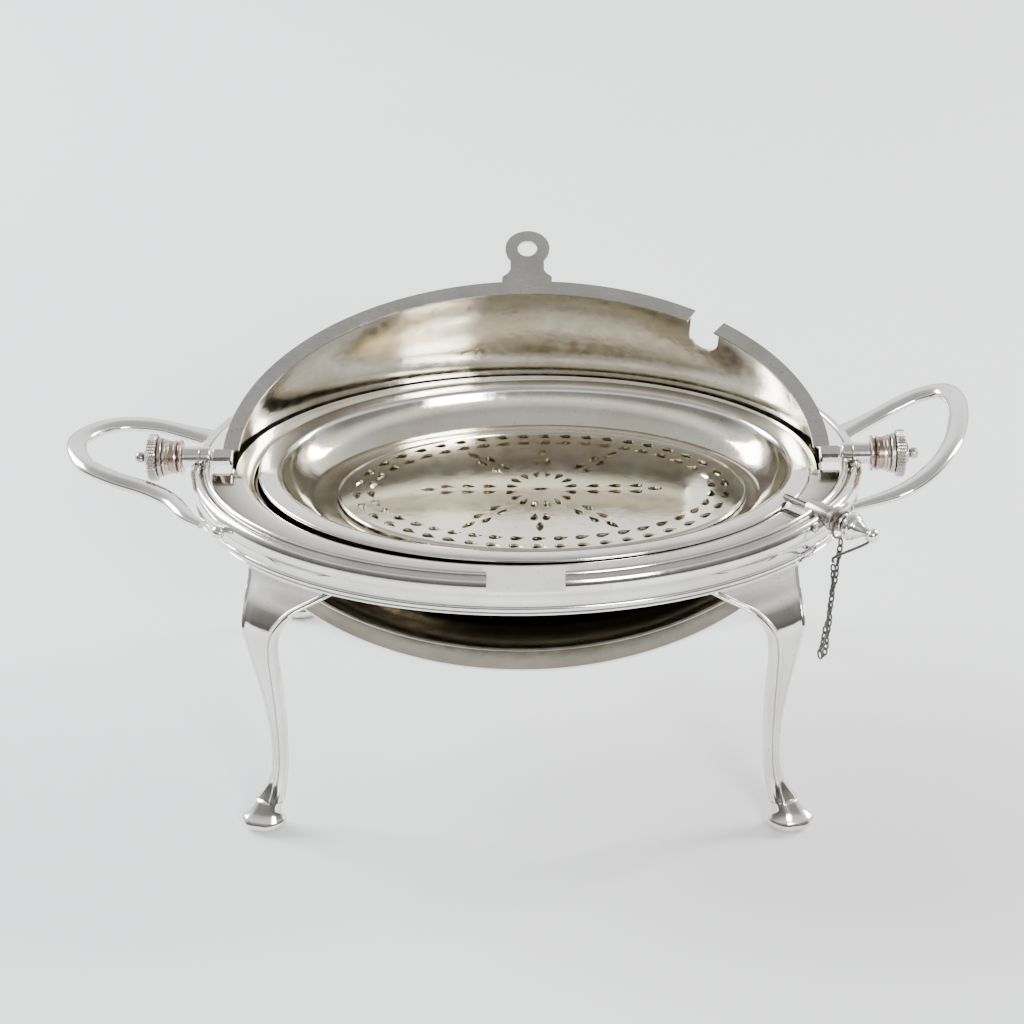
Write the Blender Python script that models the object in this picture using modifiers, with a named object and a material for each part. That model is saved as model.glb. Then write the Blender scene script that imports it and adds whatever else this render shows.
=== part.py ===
"""Roll top chafer: an oval breakfast dish with a revolving half-dome lid.

Metres, +Z up.  The origin is on the floor under the middle of the dish.
+X runs along the lid's axis to the viewer's right, and -Y is the front.
The lid is modelled half rolled back, the way the dish is shown.
"""
import math

import bmesh
import bpy
from mathutils import Matrix, Vector

# ---------------------------------------------------------------- dimensions
AXIS_Z = 0.134              # height of the lid's axis above the floor
FLAT_Z = 0.1285             # top of the flat rim that the lid shuts on
GAP = 0.0003                # clearance between pieces that touch
SHEET = 0.0012              # thickness of the raised silver plate

THROAT = (0.1210, 0.0825)   # half length and half depth of the well's mouth
THROAT_FOOT = (0.1135, 0.0750)
THROAT_DEPTH = 0.0070
PAN_FLOOR = (0.0780, 0.0400)
PAN_DEPTH = 0.0390
INNER_RING = (0.1245, 0.0860)   # back edge of the flat, beside the slot
MOULD_FOOT = (0.1340, 0.0943)
MOULD_OUT = (0.1440, 0.1015)
MOULD_RISE = 0.0058
RAIL_OUT = 0.1100           # half depth of the rim at the back
RAIL_IN = (0.1378, 0.1050)  # outer edge of the slot
LIP_DROP = 0.0120
LIP_INSET = 0.0040
SLOT_FRONT = -0.0046
TAB_GAP = 0.0155            # half width of the break in the front moulding
TAB_GAP_X = 0.0026          # the break was cut a little to the right

LINER = (0.1183, 0.0797)
LINER_BOWL = (0.1085, 0.0717)
LINER_LEDGE = (0.0950, 0.0580)
LINER_FLOOR = (0.0700, 0.0330)
LINER_DEPTH = 0.0250
LINER_SHIFT = 0.0039        # the loose liner lies against the right end
DRAINER = (0.0880, 0.0516)
DRAINER_DROP = 0.0125
DRAINER_SHIFT = 0.0068
DRAINER_THICK = 0.0010

LID_OPEN = math.radians(151.6)      # shown angle, counted from shut
LID_FULL = math.radians(163.0)      # fully rolled back
DOME = (0.1280, 0.0885)
DOME_THICK = 0.0010
FLARE = 0.0060              # the dome's lower edge swells out by this much
FLARE_START = math.radians(150)
DOME_END = math.radians(179.6)
HUB_RADIUS = 0.0068         # hole in each end of the dome, round its block
FRAME_PASS = 0.0092         # how far under the axis the dome clears the rim
FLANGE_IN = (0.1235, 0.0860)
FLANGE_OUT = (0.1305, 0.0930)
FLANGE_THICK = 0.0012
TAB_LENGTH = 0.0285
TAB_HEAD = 0.0101
TAB_NECK = 0.0076
TAB_FOOT = 0.0112
TAB_HOLE = 0.0043
NOTCH_X = 0.0815            # middle of the notch for a spoon
NOTCH_HALF = 0.0070
NOTCH_DEPTH = 0.0170
BAND_IN = 0.0949
BAND_OUT = 0.1036
BAND_END = math.radians(25)         # where the band stops short of each hub

BLOCK_X = (0.1256, 0.1345)
BLOCK_HALF = (0.0033, 0.0029)
SPINDLE_R = 0.0046
SPINDLE_END = 0.1468
COLLAR_END = 0.1553
NUT_END = 0.1616
NUT_R = 0.0101
TIP_END = 0.1680

PIN_START = (0.1083, -0.0330)       # inner tip of the locking pin, in plan
PIN_WAY = Vector((0.718, -0.696, 0)).normalized()
PIN_Z = 0.1320
PIN_R = 0.0015
PIN_BORE = 0.0019
PIN_LENGTH = 0.0326
COLLAR_SPAN = (0.0134, 0.0324)
GROOVE = 0.0304             # the groove that the chain's ring hangs in
COLLAR_R = 0.0042

HANDLE_HALF = (0.0047, 0.0028)      # half width and half thickness of the bar
HANDLE_TILT = {"left": math.radians(6), "right": math.radians(20)}
HANDLE_SHAPES = {
    "left": [(0.1420, 0.0275), (0.1500, 0.0305), (0.1650, 0.0345), (0.1820, 0.0320), (0.1930, 0.0210),
             (0.1950, 0.0090), (0.1880, -0.0060), (0.1750, -0.0150), (0.1600, -0.0215), (0.1500, -0.0280),
             (0.1446, -0.0345), (0.1404, -0.0405), (0.1366, -0.0460)],
    "right": [(0.1420, 0.0279), (0.1510, 0.0339), (0.1620, 0.0385), (0.1725, 0.0412), (0.1825, 0.0380),
              (0.1862, 0.0260), (0.1850, 0.0090), (0.1800, -0.0090), (0.1700, -0.0250), (0.1570, -0.0338),
              (0.1408, -0.0352)],
}

LEG_TOP_Z = FLAT_Z - LIP_DROP - GAP
LEG_TURN = math.atan2(0.0720 / 0.0985, 0.0950 / 0.1392)     # where a leg stands on the oval

CHAIN_R = 0.0011
# the chain's hand-laid route: down from its ring, round, and up to the hook
CHAIN_ROUTE = [
    (0.1303, -0.0543, 0.1238), (0.1300, -0.0543, 0.1190), (0.1291, -0.0543, 0.1080), (0.1278, -0.0544, 0.0950),
    (0.1264, -0.0545, 0.0830), (0.1250, -0.0546, 0.0740), (0.1241, -0.0549, 0.0690), (0.1244, -0.0560, 0.0672),
    (0.1254, -0.0572, 0.0686), (0.1261, -0.0581, 0.0740), (0.1266, -0.0588, 0.0830), (0.1270, -0.0593, 0.0930),
    (0.1272, -0.0598, 0.1030), (0.1272, -0.0601, 0.1110), (0.1270, -0.0603, 0.1150),
]

SILVER = (0.80, 0.79, 0.75)
PARTS = {}


# ------------------------------------------------------------------- helpers
def start():
    """Empty the scene and make the two collections."""
    for item in list(bpy.data.objects):
        bpy.data.objects.remove(item, do_unlink=True)
    scene = bpy.context.scene.collection
    for name in ("roll_top_chafer", "cutters"):
        collection = bpy.data.collections.new(name)
        scene.children.link(collection)


def material(name, colour, roughness):
    """A plain metal finish."""
    made = bpy.data.materials.new(name)
    made.use_nodes = True
    shader = made.node_tree.nodes["Principled BSDF"]
    shader.inputs["Base Color"].default_value = (*colour, 1)
    shader.inputs["Roughness"].default_value = roughness
    shader.inputs["Metallic"].default_value = 1.0
    return made


def link(name, mesh, colour=SILVER, roughness=0.15):
    """Put a finished mesh in the model under its node name."""
    item = bpy.data.objects.new(name, mesh)
    bpy.data.collections["roll_top_chafer"].objects.link(item)
    mesh.materials.clear()
    mesh.materials.append(material(name, colour, roughness))
    mesh.shade_smooth()
    mesh.set_sharp_from_angle(angle=math.radians(35))
    PARTS[name] = item
    return item


def mesh_from(bm):
    """Close a bmesh off as mesh data with its faces pointing out."""
    bmesh.ops.remove_doubles(bm, verts=bm.verts, dist=1e-7)
    bmesh.ops.recalc_face_normals(bm, faces=bm.faces)
    mesh = bpy.data.meshes.new("shape")
    bm.to_mesh(mesh)
    bm.free()
    return mesh


def cutter(bm, name):
    """A hidden solid that only cuts others."""
    item = bpy.data.objects.new(name, mesh_from(bm))
    bpy.data.collections["cutters"].objects.link(item)
    item.hide_render = True
    item.display_type = "WIRE"
    return item


def cut(item, tool):
    """Take the tool's solid out of an object."""
    step = item.modifiers.new("cut", "BOOLEAN")
    step.operation = "DIFFERENCE"
    step.object = tool
    step.solver = "EXACT"


def loft(rings, closed_path=False):
    """Skin equal rings of points; the ends are capped unless the path closes."""
    bm = bmesh.new()
    rows = [[bm.verts.new(point) for point in ring] for ring in rings]
    count = len(rows[0])
    pairs = list(zip(rows, rows[1:]))
    if closed_path:
        pairs.append((rows[-1], rows[0]))
    for one, two in pairs:
        for i in range(count):
            j = (i + 1) % count
            bm.faces.new((one[i], one[j], two[j], two[i]))
    if not closed_path:
        bm.faces.new(rows[0])
        bm.faces.new(rows[-1][::-1])
    return bm


def oval_point(half_x, half_y, turn, back=None):
    """A point on an oval whose back half may be deeper than its front."""
    y = math.sin(turn)
    depth = back if back is not None and y > 0 else half_y
    return half_x * math.cos(turn), depth * y


def oval_ring(profile, steps, shift=0.0):
    """A closed ring with one section, given as (half x, half y, z[, back])."""
    rings = []
    for k in range(steps):
        turn = 2 * math.pi * k / steps
        ring = []
        for half_x, half_y, z, *back in profile:
            x, y = oval_point(half_x, half_y, turn, back[0] if back else None)
            ring.append((x + shift, y, z))
        rings.append(ring)
    return loft(rings, closed_path=True)


def oval_bowl(outer, inner, steps, shift=0.0):
    """An oval dish between an outer and an inner profile, rim first."""
    bm = bmesh.new()

    def row(half_x, half_y, z):
        turns = (2 * math.pi * k / steps for k in range(steps))
        return [bm.verts.new((half_x * math.cos(t) + shift, half_y * math.sin(t), z)) for t in turns]

    rows = [row(*p) for p in outer[::-1] + inner]
    for one, two in zip(rows, rows[1:]):
        for i in range(steps):
            j = (i + 1) % steps
            bm.faces.new((one[i], one[j], two[j], two[i]))
    bm.faces.new(rows[0])
    bm.faces.new(rows[-1][::-1])
    return bm


def turned(profile, steps, start_point, way):
    """A turned solid: (distance along the axis, radius) from one end to the other."""
    way = Vector(way).normalized()
    side = way.cross(Vector((0, 0, 1))).normalized()
    up = side.cross(way)
    rings = []
    for along, radius in profile:
        middle = Vector(start_point) + way * along
        ring = []
        for k in range(steps):
            turn = 2 * math.pi * k / steps
            ring.append(middle + (side * math.cos(turn) + up * math.sin(turn)) * radius)
        rings.append(ring)
    return loft(rings)


def tube_about(profile, bore, steps, start_point, way):
    """A turned solid with a straight bore right through it."""
    low, high = profile[0][0], profile[-1][0]
    section = list(profile) + [(high, bore), (low, bore)]
    way = Vector(way).normalized()
    side = way.cross(Vector((0, 0, 1))).normalized()
    up = side.cross(way)
    rings = []
    for k in range(steps):
        turn = 2 * math.pi * k / steps
        out = side * math.cos(turn) + up * math.sin(turn)
        rings.append([Vector(start_point) + way * a + out * r for a, r in section])
    return loft(rings, closed_path=True)


def smooth(points, count):
    """Read evenly spaced points from a smooth curve through the given ones."""
    points = [Vector(p) for p in points]
    ends = [points[0] * 2 - points[1]] + points + [points[-1] * 2 - points[-2]]
    fine = []
    for a, b, c, d in zip(ends, ends[1:], ends[2:], ends[3:]):
        for k in range(24):
            t = k / 24
            fine.append(0.5 * ((2 * b) + (c - a) * t + (2 * a - 5 * b + 4 * c - d) * t * t
                               + (3 * b - a - 3 * c + d) * t ** 3))
    fine.append(points[-1])
    lengths = [0.0]
    for a, b in zip(fine, fine[1:]):
        lengths.append(lengths[-1] + (b - a).length)
    out = []
    j = 0
    for k in range(count):
        want = lengths[-1] * k / (count - 1)
        while j < len(fine) - 2 and lengths[j + 1] < want:
            j += 1
        span = lengths[j + 1] - lengths[j]
        out.append(fine[j].lerp(fine[j + 1], min(1, (want - lengths[j]) / span)))
    return out


def sweep(path, halves, flat_way, sides=10):
    """A bar with an oval section along a path, wide across flat_way."""
    rings = []
    for k, point in enumerate(path):
        ahead = path[min(k + 1, len(path) - 1)] - path[max(k - 1, 0)]
        ahead.normalize()
        wide = flat_way.cross(ahead).normalized()
        thin = ahead.cross(wide)
        half_w, half_t = halves(k / (len(path) - 1))
        ring = []
        for i in range(sides):
            turn = 2 * math.pi * i / sides
            ring.append(point + wide * half_w * math.cos(turn) + thin * half_t * math.sin(turn))
        rings.append(ring)
    return loft(rings)


def lid_point(x, radius, turn):
    """A point of the lid as it stands: turn is counted from its front edge."""
    at = LID_OPEN + turn
    return Vector((x, -radius * math.cos(at), AXIS_Z + radius * math.sin(at)))


# --------------------------------------------------------- frame and its well
def frame():
    """The stamped rim: throat, flat, raised moulding, apron and back rail."""
    mid_x = (MOULD_FOOT[0] + MOULD_OUT[0]) / 2
    mid_y = (MOULD_FOOT[1] + MOULD_OUT[1]) / 2
    top = FLAT_Z + MOULD_RISE
    lip = FLAT_Z - LIP_DROP
    under = FLAT_Z - SHEET - 0.0006
    out_x, out_y = MOULD_OUT
    section = [
        (*THROAT_FOOT, FLAT_Z - THROAT_DEPTH),
        (THROAT[0] - 0.0052, THROAT[1] - 0.0052, FLAT_Z - 0.0036),
        (THROAT[0] - 0.0026, THROAT[1] - 0.0026, FLAT_Z - 0.0011),
        (*THROAT, FLAT_Z),
        (*MOULD_FOOT, FLAT_Z, RAIL_IN[1] - 0.004),
        (MOULD_FOOT[0] + 0.0014, MOULD_FOOT[1] + 0.0012, top - 0.0012, RAIL_IN[1] - 0.003),
        (mid_x - 0.0012, mid_y - 0.0010, top, RAIL_IN[1] + 0.0008),
        (mid_x + 0.0012, mid_y + 0.0010, top - 0.0010, RAIL_IN[1] + 0.0022),
        (out_x - 0.0020, out_y - 0.0018, top - 0.0016, RAIL_OUT - 0.0014),
        (out_x, out_y, FLAT_Z + 0.0018, RAIL_OUT),
        (out_x - 0.0008, out_y - 0.0006, FLAT_Z - 0.0010, RAIL_OUT - 0.0006),
        (out_x - LIP_INSET + 0.0010, out_y - 0.0018, lip + 0.0034, RAIL_OUT - 0.0018),
        (out_x - LIP_INSET + 0.0016, out_y - 0.0010, lip + 0.0016, RAIL_OUT - 0.0010),
        (out_x - LIP_INSET, out_y - 0.0022, lip, RAIL_OUT - 0.0022),
        (out_x - LIP_INSET - 0.0016, out_y - 0.0038, lip, RAIL_OUT - 0.0036),
        (out_x - LIP_INSET - 0.0016, out_y - 0.0038, under, RAIL_OUT - 0.0036),
        (THROAT[0] - 0.0020, THROAT[1] - 0.0020, under - 0.0012),
        (THROAT_FOOT[0] + 0.0014, THROAT_FOOT[1] + 0.0014, FLAT_Z - THROAT_DEPTH),
    ]
    item = link("frame_rim", mesh_from(oval_ring(section, 60)))
    cut(item, lid_slot())
    cut(item, front_break())
    for side in (-1, 1):
        rod = turned([(0.0, SPINDLE_R + 0.0004), (0.020, SPINDLE_R + 0.0004)], 24,
                     (side * 0.1322, 0, AXIS_Z), (side, 0, 0))
        cut(item, cutter(rod, f"saddle_{'left' if side < 0 else 'right'}"))
    hole = turned([(0.0, COLLAR_R + GAP), (0.016, COLLAR_R + GAP)], 24,
                  pin_at(0.0130), PIN_WAY)
    cut(item, cutter(hole, "pin_seat"))


def lid_slot():
    """The crescent between the inner ring and the back rail."""
    inner = []
    outer = []
    steps = 48
    for k in range(steps + 1):
        turn = math.pi * k / steps
        inner.append((INNER_RING[0] * math.cos(turn), INNER_RING[1] * math.sin(turn)))
        outer.append((RAIL_IN[0] * math.cos(turn), RAIL_IN[1] * math.sin(turn)))
    inner = [(inner[0][0], SLOT_FRONT)] + inner + [(inner[-1][0], SLOT_FRONT)]
    outer = [(outer[0][0], SLOT_FRONT)] + outer + [(outer[-1][0], SLOT_FRONT)]
    rings = []
    for a, b in zip(inner, outer):
        rings.append([(*a, 0.105), (*b, 0.105), (*b, 0.150), (*a, 0.150)])
    return cutter(loft(rings), "lid_slot")


def front_break():
    """The break in the front moulding that the lid's tab drops into."""
    bm = bmesh.new()
    bmesh.ops.create_cube(bm, size=1.0)
    size = (TAB_GAP * 2, 0.030, 0.020)
    bmesh.ops.scale(bm, vec=size, verts=bm.verts)
    bmesh.ops.translate(bm, vec=(TAB_GAP_X, -MOULD_OUT[1], FLAT_Z + size[2] / 2), verts=bm.verts)
    return cutter(bm, "front_break")


def water_pan():
    """The pan under the throat that holds the hot water."""
    top = FLAT_Z - THROAT_DEPTH - GAP
    floor = FLAT_Z - PAN_DEPTH
    foot_x, foot_y = THROAT_FOOT
    outer = [(foot_x + 0.0012, foot_y + 0.0012, top)]
    inner = [(foot_x, foot_y, top)]
    for k in range(1, 5):
        turn = math.pi / 2 * k / 4
        x = PAN_FLOOR[0] + (foot_x - PAN_FLOOR[0]) * math.cos(turn) ** 0.8
        y = PAN_FLOOR[1] + (foot_y - PAN_FLOOR[1]) * math.cos(turn) ** 0.8
        z = top + (floor - top) * math.sin(turn)
        outer.append((x + SHEET * math.cos(turn), y + SHEET * math.cos(turn), z))
        inner.append((x, y, z + SHEET * math.sin(turn)))
    link("water_pan", mesh_from(oval_bowl(outer, inner, 40)), (0.62, 0.60, 0.55), 0.3)


def liner():
    """The loose food dish, whose flange lies on the flat."""
    z = FLAT_Z + GAP
    bowl_x, bowl_y = LINER_BOWL
    ledge = FLAT_Z - DRAINER_DROP
    floor = FLAT_Z - LINER_DEPTH
    upper = [
        (*LINER, z + 0.0002), (LINER[0] - 0.0006, LINER[1] - 0.0006, z + SHEET),
        (bowl_x + 0.0006, bowl_y + 0.0006, z + SHEET), (bowl_x - 0.0006, bowl_y - 0.0006, z + 0.0006),
        (bowl_x - 0.0030, bowl_y - 0.0030, z - 0.0052),
        (LINER_LEDGE[0] + 0.0030, LINER_LEDGE[1] + 0.0030, ledge + 0.0012),
        (*LINER_LEDGE, ledge), (LINER_LEDGE[0] - 0.0125, LINER_LEDGE[1] - 0.0125, ledge - 0.0008),
        (LINER_FLOOR[0] + 0.0040, LINER_FLOOR[1] + 0.0040, floor + 0.0028), (*LINER_FLOOR, floor + SHEET),
    ]
    lower = [
        (*LINER, z), (bowl_x + SHEET, bowl_y + SHEET, z),
        (bowl_x - 0.0016, bowl_y - 0.0016, z - 0.0058),
        (LINER_LEDGE[0] + 0.0036, LINER_LEDGE[1] + 0.0036, ledge),
        (LINER_LEDGE[0] + 0.0004, LINER_LEDGE[1] + 0.0004, ledge - SHEET),
        (LINER_LEDGE[0] - 0.0118, LINER_LEDGE[1] - 0.0118, ledge - SHEET - 0.0008),
        (LINER_FLOOR[0] + 0.0046, LINER_FLOOR[1] + 0.0046, floor + 0.0010), (*LINER_FLOOR, floor),
    ]
    link("liner_dish", mesh_from(oval_bowl(lower, upper, 48, LINER_SHIFT)))


def drop_hole(x, y, angle, length, width):
    """A five-sided teardrop hole, its point at the far end of angle."""
    shape = ((-0.5, -0.24), (-0.2, -0.5), (0.5, 0.0), (-0.2, 0.5), (-0.5, 0.24))
    c, s = math.cos(angle), math.sin(angle)
    return [(x + (u * c - v * s * width / length) * length, y + (u * s + v * c * width / length) * length)
            for u, v in shape]


def drainer_holes():
    """The pierced pattern: two border rows, eight spokes and a middle slot."""
    holes = [drop_hole(0, 0, 0, 0.0150, 0.0026)]
    for row, count, shift in ((0.915, 22, 0.0), (0.795, 22, 0.5)):
        half_x = DRAINER[0] * row + (0 if row > 0.9 else 0.004)
        half_y = DRAINER[1] * row
        for k in range(count):
            turn = 2 * math.pi * (k + shift) / count
            x, y = half_x * math.cos(turn), half_y * math.sin(turn)
            way = math.atan2(half_y * math.cos(turn), -half_x * math.sin(turn))
            holes.append(drop_hole(x, y, way, 0.0080, 0.0026))
    for k in range(8):
        turn = 2 * math.pi * k / 8
        reach = 1 / math.hypot(math.cos(turn) / (DRAINER[0] * 0.66), math.sin(turn) / (DRAINER[1] * 0.66))
        pairs = 3 if k % 4 == 0 else 2 if k % 2 else 1
        for n in range(pairs):
            at = 0.0165 + n * 0.0100
            for side in (-1, 1):
                x = at * math.cos(turn) - side * 0.0018 * math.sin(turn)
                y = at * math.sin(turn) + side * 0.0018 * math.cos(turn)
                holes.append(drop_hole(x, y, turn, 0.0060, 0.0022))
        end = min(reach, 0.0165 + pairs * 0.0100)
        holes.append(drop_hole(end * math.cos(turn), end * math.sin(turn), turn, 0.0070, 0.0020))
    for k in range(6):
        turn = 2 * math.pi * (k + 0.5) / 6
        x, y = 0.0112 * math.cos(turn), 0.0062 * math.sin(turn)
        holes.append(drop_hole(x, y, turn, 0.0036, 0.0018))
    return holes


def flat_plate(outline, holes, thickness):
    """A flat plate with holes, from a filled 2D curve."""
    curve = bpy.data.curves.new("outline", "CURVE")
    curve.dimensions = "2D"
    curve.fill_mode = "BOTH"
    curve.extrude = thickness / 2
    for ring in [outline] + holes:
        spline = curve.splines.new("POLY")
        spline.points.add(len(ring) - 1)
        spline.use_cyclic_u = True
        for point, (x, y) in zip(spline.points, ring):
            point.co = (x, y, 0, 1)
    item = bpy.data.objects.new("outline", curve)
    bpy.context.scene.collection.objects.link(item)
    bpy.context.view_layer.update()
    solid = item.evaluated_get(bpy.context.evaluated_depsgraph_get())
    mesh = bpy.data.meshes.new_from_object(solid)
    bpy.data.objects.remove(item, do_unlink=True)
    bm = bmesh.new()
    bm.from_mesh(mesh)
    return bm


def drainer():
    """The pierced plate that lies on the liner's ledge."""
    outline = [oval_point(*DRAINER, 2 * math.pi * k / 48) for k in range(48)]
    bm = flat_plate(outline, drainer_holes(), DRAINER_THICK)
    z = FLAT_Z - DRAINER_DROP + GAP + DRAINER_THICK / 2
    bmesh.ops.translate(bm, vec=(DRAINER_SHIFT, 0, z), verts=bm.verts)
    link("drainer_plate", mesh_from(bm))


# ------------------------------------------------------------------- the lid
def dome():
    """The revolving half dome, one skin thick, with its ends cleared."""
    across, around = 32, 14
    start_turn = math.asin(HUB_RADIUS / DOME[1])
    bm = bmesh.new()
    rows = []
    for i in range(across + 1):
        t = start_turn + (math.pi - 2 * start_turn) * i / across
        radius = DOME[1] * math.sin(t)
        low = math.asin((FLANGE_THICK + GAP) / radius)
        spare = math.radians(30) * max(0.0, 1 - radius / 0.020)
        high = min(DOME_END, 2 * math.pi - LID_FULL - spare - math.asin(min(1, FRAME_PASS / radius)))
        row = []
        for j in range(around + 1):
            turn = low + (high - low) * (1 - (1 - j / around) ** 1.4)
            swell = max(0.0, (turn - FLARE_START) / (DOME_END - FLARE_START))
            here = radius + FLARE * swell * swell * math.sin(t)
            row.append(bm.verts.new(lid_point(DOME[0] * math.cos(t), here, turn)))
        rows.append(row)
    for one, two in zip(rows, rows[1:]):
        for j in range(around):
            bm.faces.new((one[j], one[j + 1], two[j + 1], two[j]))
    mesh = mesh_from(bm)
    item = link("lid_dome", mesh)
    middle = mesh.polygons[len(mesh.polygons) // 2]
    outward = (middle.center - Vector((middle.center.x, 0, AXIS_Z))).dot(middle.normal) > 0
    thick = item.modifiers.new("skin", "SOLIDIFY")
    thick.thickness = DOME_THICK
    thick.offset = -1 if outward else 1
    thick.use_even_offset = True
    cut(item, spoon_notch())


def spoon_notch():
    """A round-ended slot through the dome's wall behind the notch."""
    t = math.acos(NOTCH_X / FLANGE_OUT[0])
    y = -FLANGE_OUT[1] * math.sin(t)
    out = Vector((NOTCH_X / FLANGE_OUT[0] ** 2, y / FLANGE_OUT[1] ** 2, 0)).normalized()
    along = Vector((-out.y, out.x, 0))
    outline = [(NOTCH_HALF, -0.002), (NOTCH_HALF, NOTCH_DEPTH - NOTCH_HALF)]
    for k in range(1, 12):
        turn = math.pi * k / 12
        outline.append((NOTCH_HALF * math.cos(turn), NOTCH_DEPTH - NOTCH_HALF + NOTCH_HALF * math.sin(turn)))
    outline += [(-NOTCH_HALF, NOTCH_DEPTH - NOTCH_HALF), (-NOTCH_HALF, -0.002)]
    rings = []
    for reach in (-0.018, 0.012):
        ring = []
        for across, up in outline:
            ring.append(Vector((NOTCH_X, y, up)) + along * across + out * reach)
        rings.append(ring)
    bm = loft(rings)
    bm.transform(lid_turn())
    return cutter(bm, "spoon_notch")


def lid_turn():
    """The move from the shut lid's own frame to the lid as it stands."""
    return Matrix.Translation((0, 0, AXIS_Z)) @ Matrix.Rotation(-LID_OPEN, 4, "X")


def flange_ends(outline):
    """The two turns where the flange stops beside the end blocks."""
    return math.asin((BLOCK_HALF[0] + GAP) / outline[1])


def edge(outline, first, last, steps):
    """Points along the flange's outer or inner oval."""
    turns = (first + (last - first) * k / steps for k in range(steps + 1))
    return [(outline[0] * math.cos(t), -outline[1] * math.sin(t)) for t in turns]


def tab_points():
    """The tab's outline from right to left: foot, neck and round head."""
    foot_y = -FLANGE_OUT[1] * math.sqrt(1 - (TAB_FOOT / FLANGE_OUT[0]) ** 2)
    head_y = -FLANGE_OUT[1] - TAB_LENGTH + TAB_HEAD
    right = [(TAB_FOOT, foot_y), (TAB_FOOT, foot_y - 0.0028)]
    right += [(TAB_NECK + 0.0014, foot_y - 0.0042), (TAB_NECK, foot_y - 0.0068)]
    for k in range(9):
        turn = math.radians(-40 + 130 * k / 8)
        right.append((TAB_HEAD * math.cos(turn), head_y - TAB_HEAD * math.sin(turn)))
    return right + [(-x, y) for x, y in right[-2::-1]]


def flange():
    """The flat front edge of the lid in its two lengths, and the tab on it."""
    notch = math.acos(NOTCH_X / FLANGE_OUT[0])
    slope = math.hypot(FLANGE_OUT[0] * math.sin(notch), FLANGE_OUT[1] * math.cos(notch))
    span = NOTCH_HALF / slope
    out_end, in_end = flange_ends(FLANGE_OUT), flange_ends(FLANGE_IN)
    tab_turn = math.acos(TAB_FOOT / FLANGE_OUT[0])
    short = edge(FLANGE_OUT, out_end, notch - span, 22)
    short += edge(FLANGE_IN, notch - span, in_end, 22)
    long = edge(FLANGE_OUT, notch + span, tab_turn, 18)[:-1]
    long += tab_points()
    long += edge(FLANGE_OUT, math.pi - tab_turn, math.pi - out_end, 34)[1:]
    long += edge(FLANGE_IN, math.pi - in_end, notch + span, 54)
    head_y = -FLANGE_OUT[1] - TAB_LENGTH + TAB_HEAD
    hole = []
    for k in range(20):
        turn = 2 * math.pi * k / 20
        hole.append((TAB_HOLE * math.cos(turn), head_y + TAB_HOLE * math.sin(turn)))
    for name, outline, holes in (("lid_flange_right", short, []), ("lid_flange_and_tab", long, [hole])):
        bm = flat_plate(outline, holes, FLANGE_THICK)
        bmesh.ops.translate(bm, vec=(0, 0, FLANGE_THICK / 2), verts=bm.verts)
        bm.transform(lid_turn())
        link(name, mesh_from(bm), SILVER, 0.3)


def back_band():
    """The stepped moulding round the back edge of the lid."""
    section = [(0.0, 0.0), (1.0, 0.0), (1.0, 0.0012), (0.80, 0.0024), (0.76, 0.0016), (0.54, 0.0032),
               (0.50, 0.0024), (0.30, 0.0038), (0.26, 0.0031), (0.08, 0.0046), (0.0, 0.0046)]
    rings = []
    steps = 32
    for k in range(steps + 1):
        t = BAND_END + (math.pi - 2 * BAND_END) * k / steps
        ring = []
        for share, height in section:
            radius = (BAND_IN + (BAND_OUT - BAND_IN) * share) * math.sin(t)
            x = (DOME[0] + 0.0003 + 0.0022 * share) * math.cos(t)
            ring.append(lid_turn() @ Vector((x, radius, height)))
        rings.append(ring)
    link("lid_back_moulding", mesh_from(loft(rings)))


def end_fittings():
    """At each end: block, spindle, bearing collar, knurled nut and finial."""
    for side, name in ((-1, "left"), (1, "right")):
        way = (side, 0, 0)
        half_y, half_z = BLOCK_HALF
        corner = 0.0012
        shape = [(half_y, half_z - corner), (half_y - corner, half_z), (corner - half_y, half_z),
                 (-half_y, half_z - corner), (-half_y, corner - half_z), (corner - half_y, -half_z),
                 (half_y - corner, -half_z), (half_y, corner - half_z)]
        rings = []
        for x, share in ((BLOCK_X[0], 0.8), (BLOCK_X[0] + 0.001, 1), (BLOCK_X[1] - 0.001, 1), (BLOCK_X[1], 0.8)):
            rings.append([lid_turn() @ Vector((side * x, y * share, z * share)) for y, z in shape])
        link(f"lid_end_block_{name}", mesh_from(loft(rings)))

        at = BLOCK_X[1] + GAP
        rod = [(0, SPINDLE_R - 0.0006), (0.0006, SPINDLE_R), (SPINDLE_END - at, SPINDLE_R)]
        link(f"lid_spindle_{name}", mesh_from(turned(rod, 20, (side * at, 0, AXIS_Z), way)),
             (0.70, 0.66, 0.58), 0.22)

        at = SPINDLE_END + GAP
        long = COLLAR_END - at
        rim = 0.0077
        body = [(0, rim), (0.0010, rim), (0.0014, rim - 0.0012), (0.0024, rim - 0.0012), (0.0028, rim - 0.0003),
                (long - 0.0016, rim - 0.0003), (long - 0.0012, rim + 0.0004), (long, rim + 0.0004)]
        link(f"bearing_collar_{name}", mesh_from(turned(body, 20, (side * at, 0, AXIS_Z), way)),
             (0.66, 0.50, 0.38), 0.3)

        at = COLLAR_END + GAP
        long = NUT_END - at
        link(f"knurled_nut_{name}", mesh_from(nut(side * at, side, long)), SILVER, 0.3)

        at = NUT_END + GAP
        ball = 0.0024
        end = TIP_END - at
        cap = [(0, 0.0047), (0.0008, 0.0046), (0.0014, 0.0040), (0.0018, 0.0028)]
        for k in range(6):
            turn = math.radians(45 + 25 * k)
            cap.append((end - ball - ball * math.cos(turn), ball * math.sin(turn)))
        link(f"finial_{name}", mesh_from(turned(cap, 16, (side * at, 0, AXIS_Z), way)))


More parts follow.
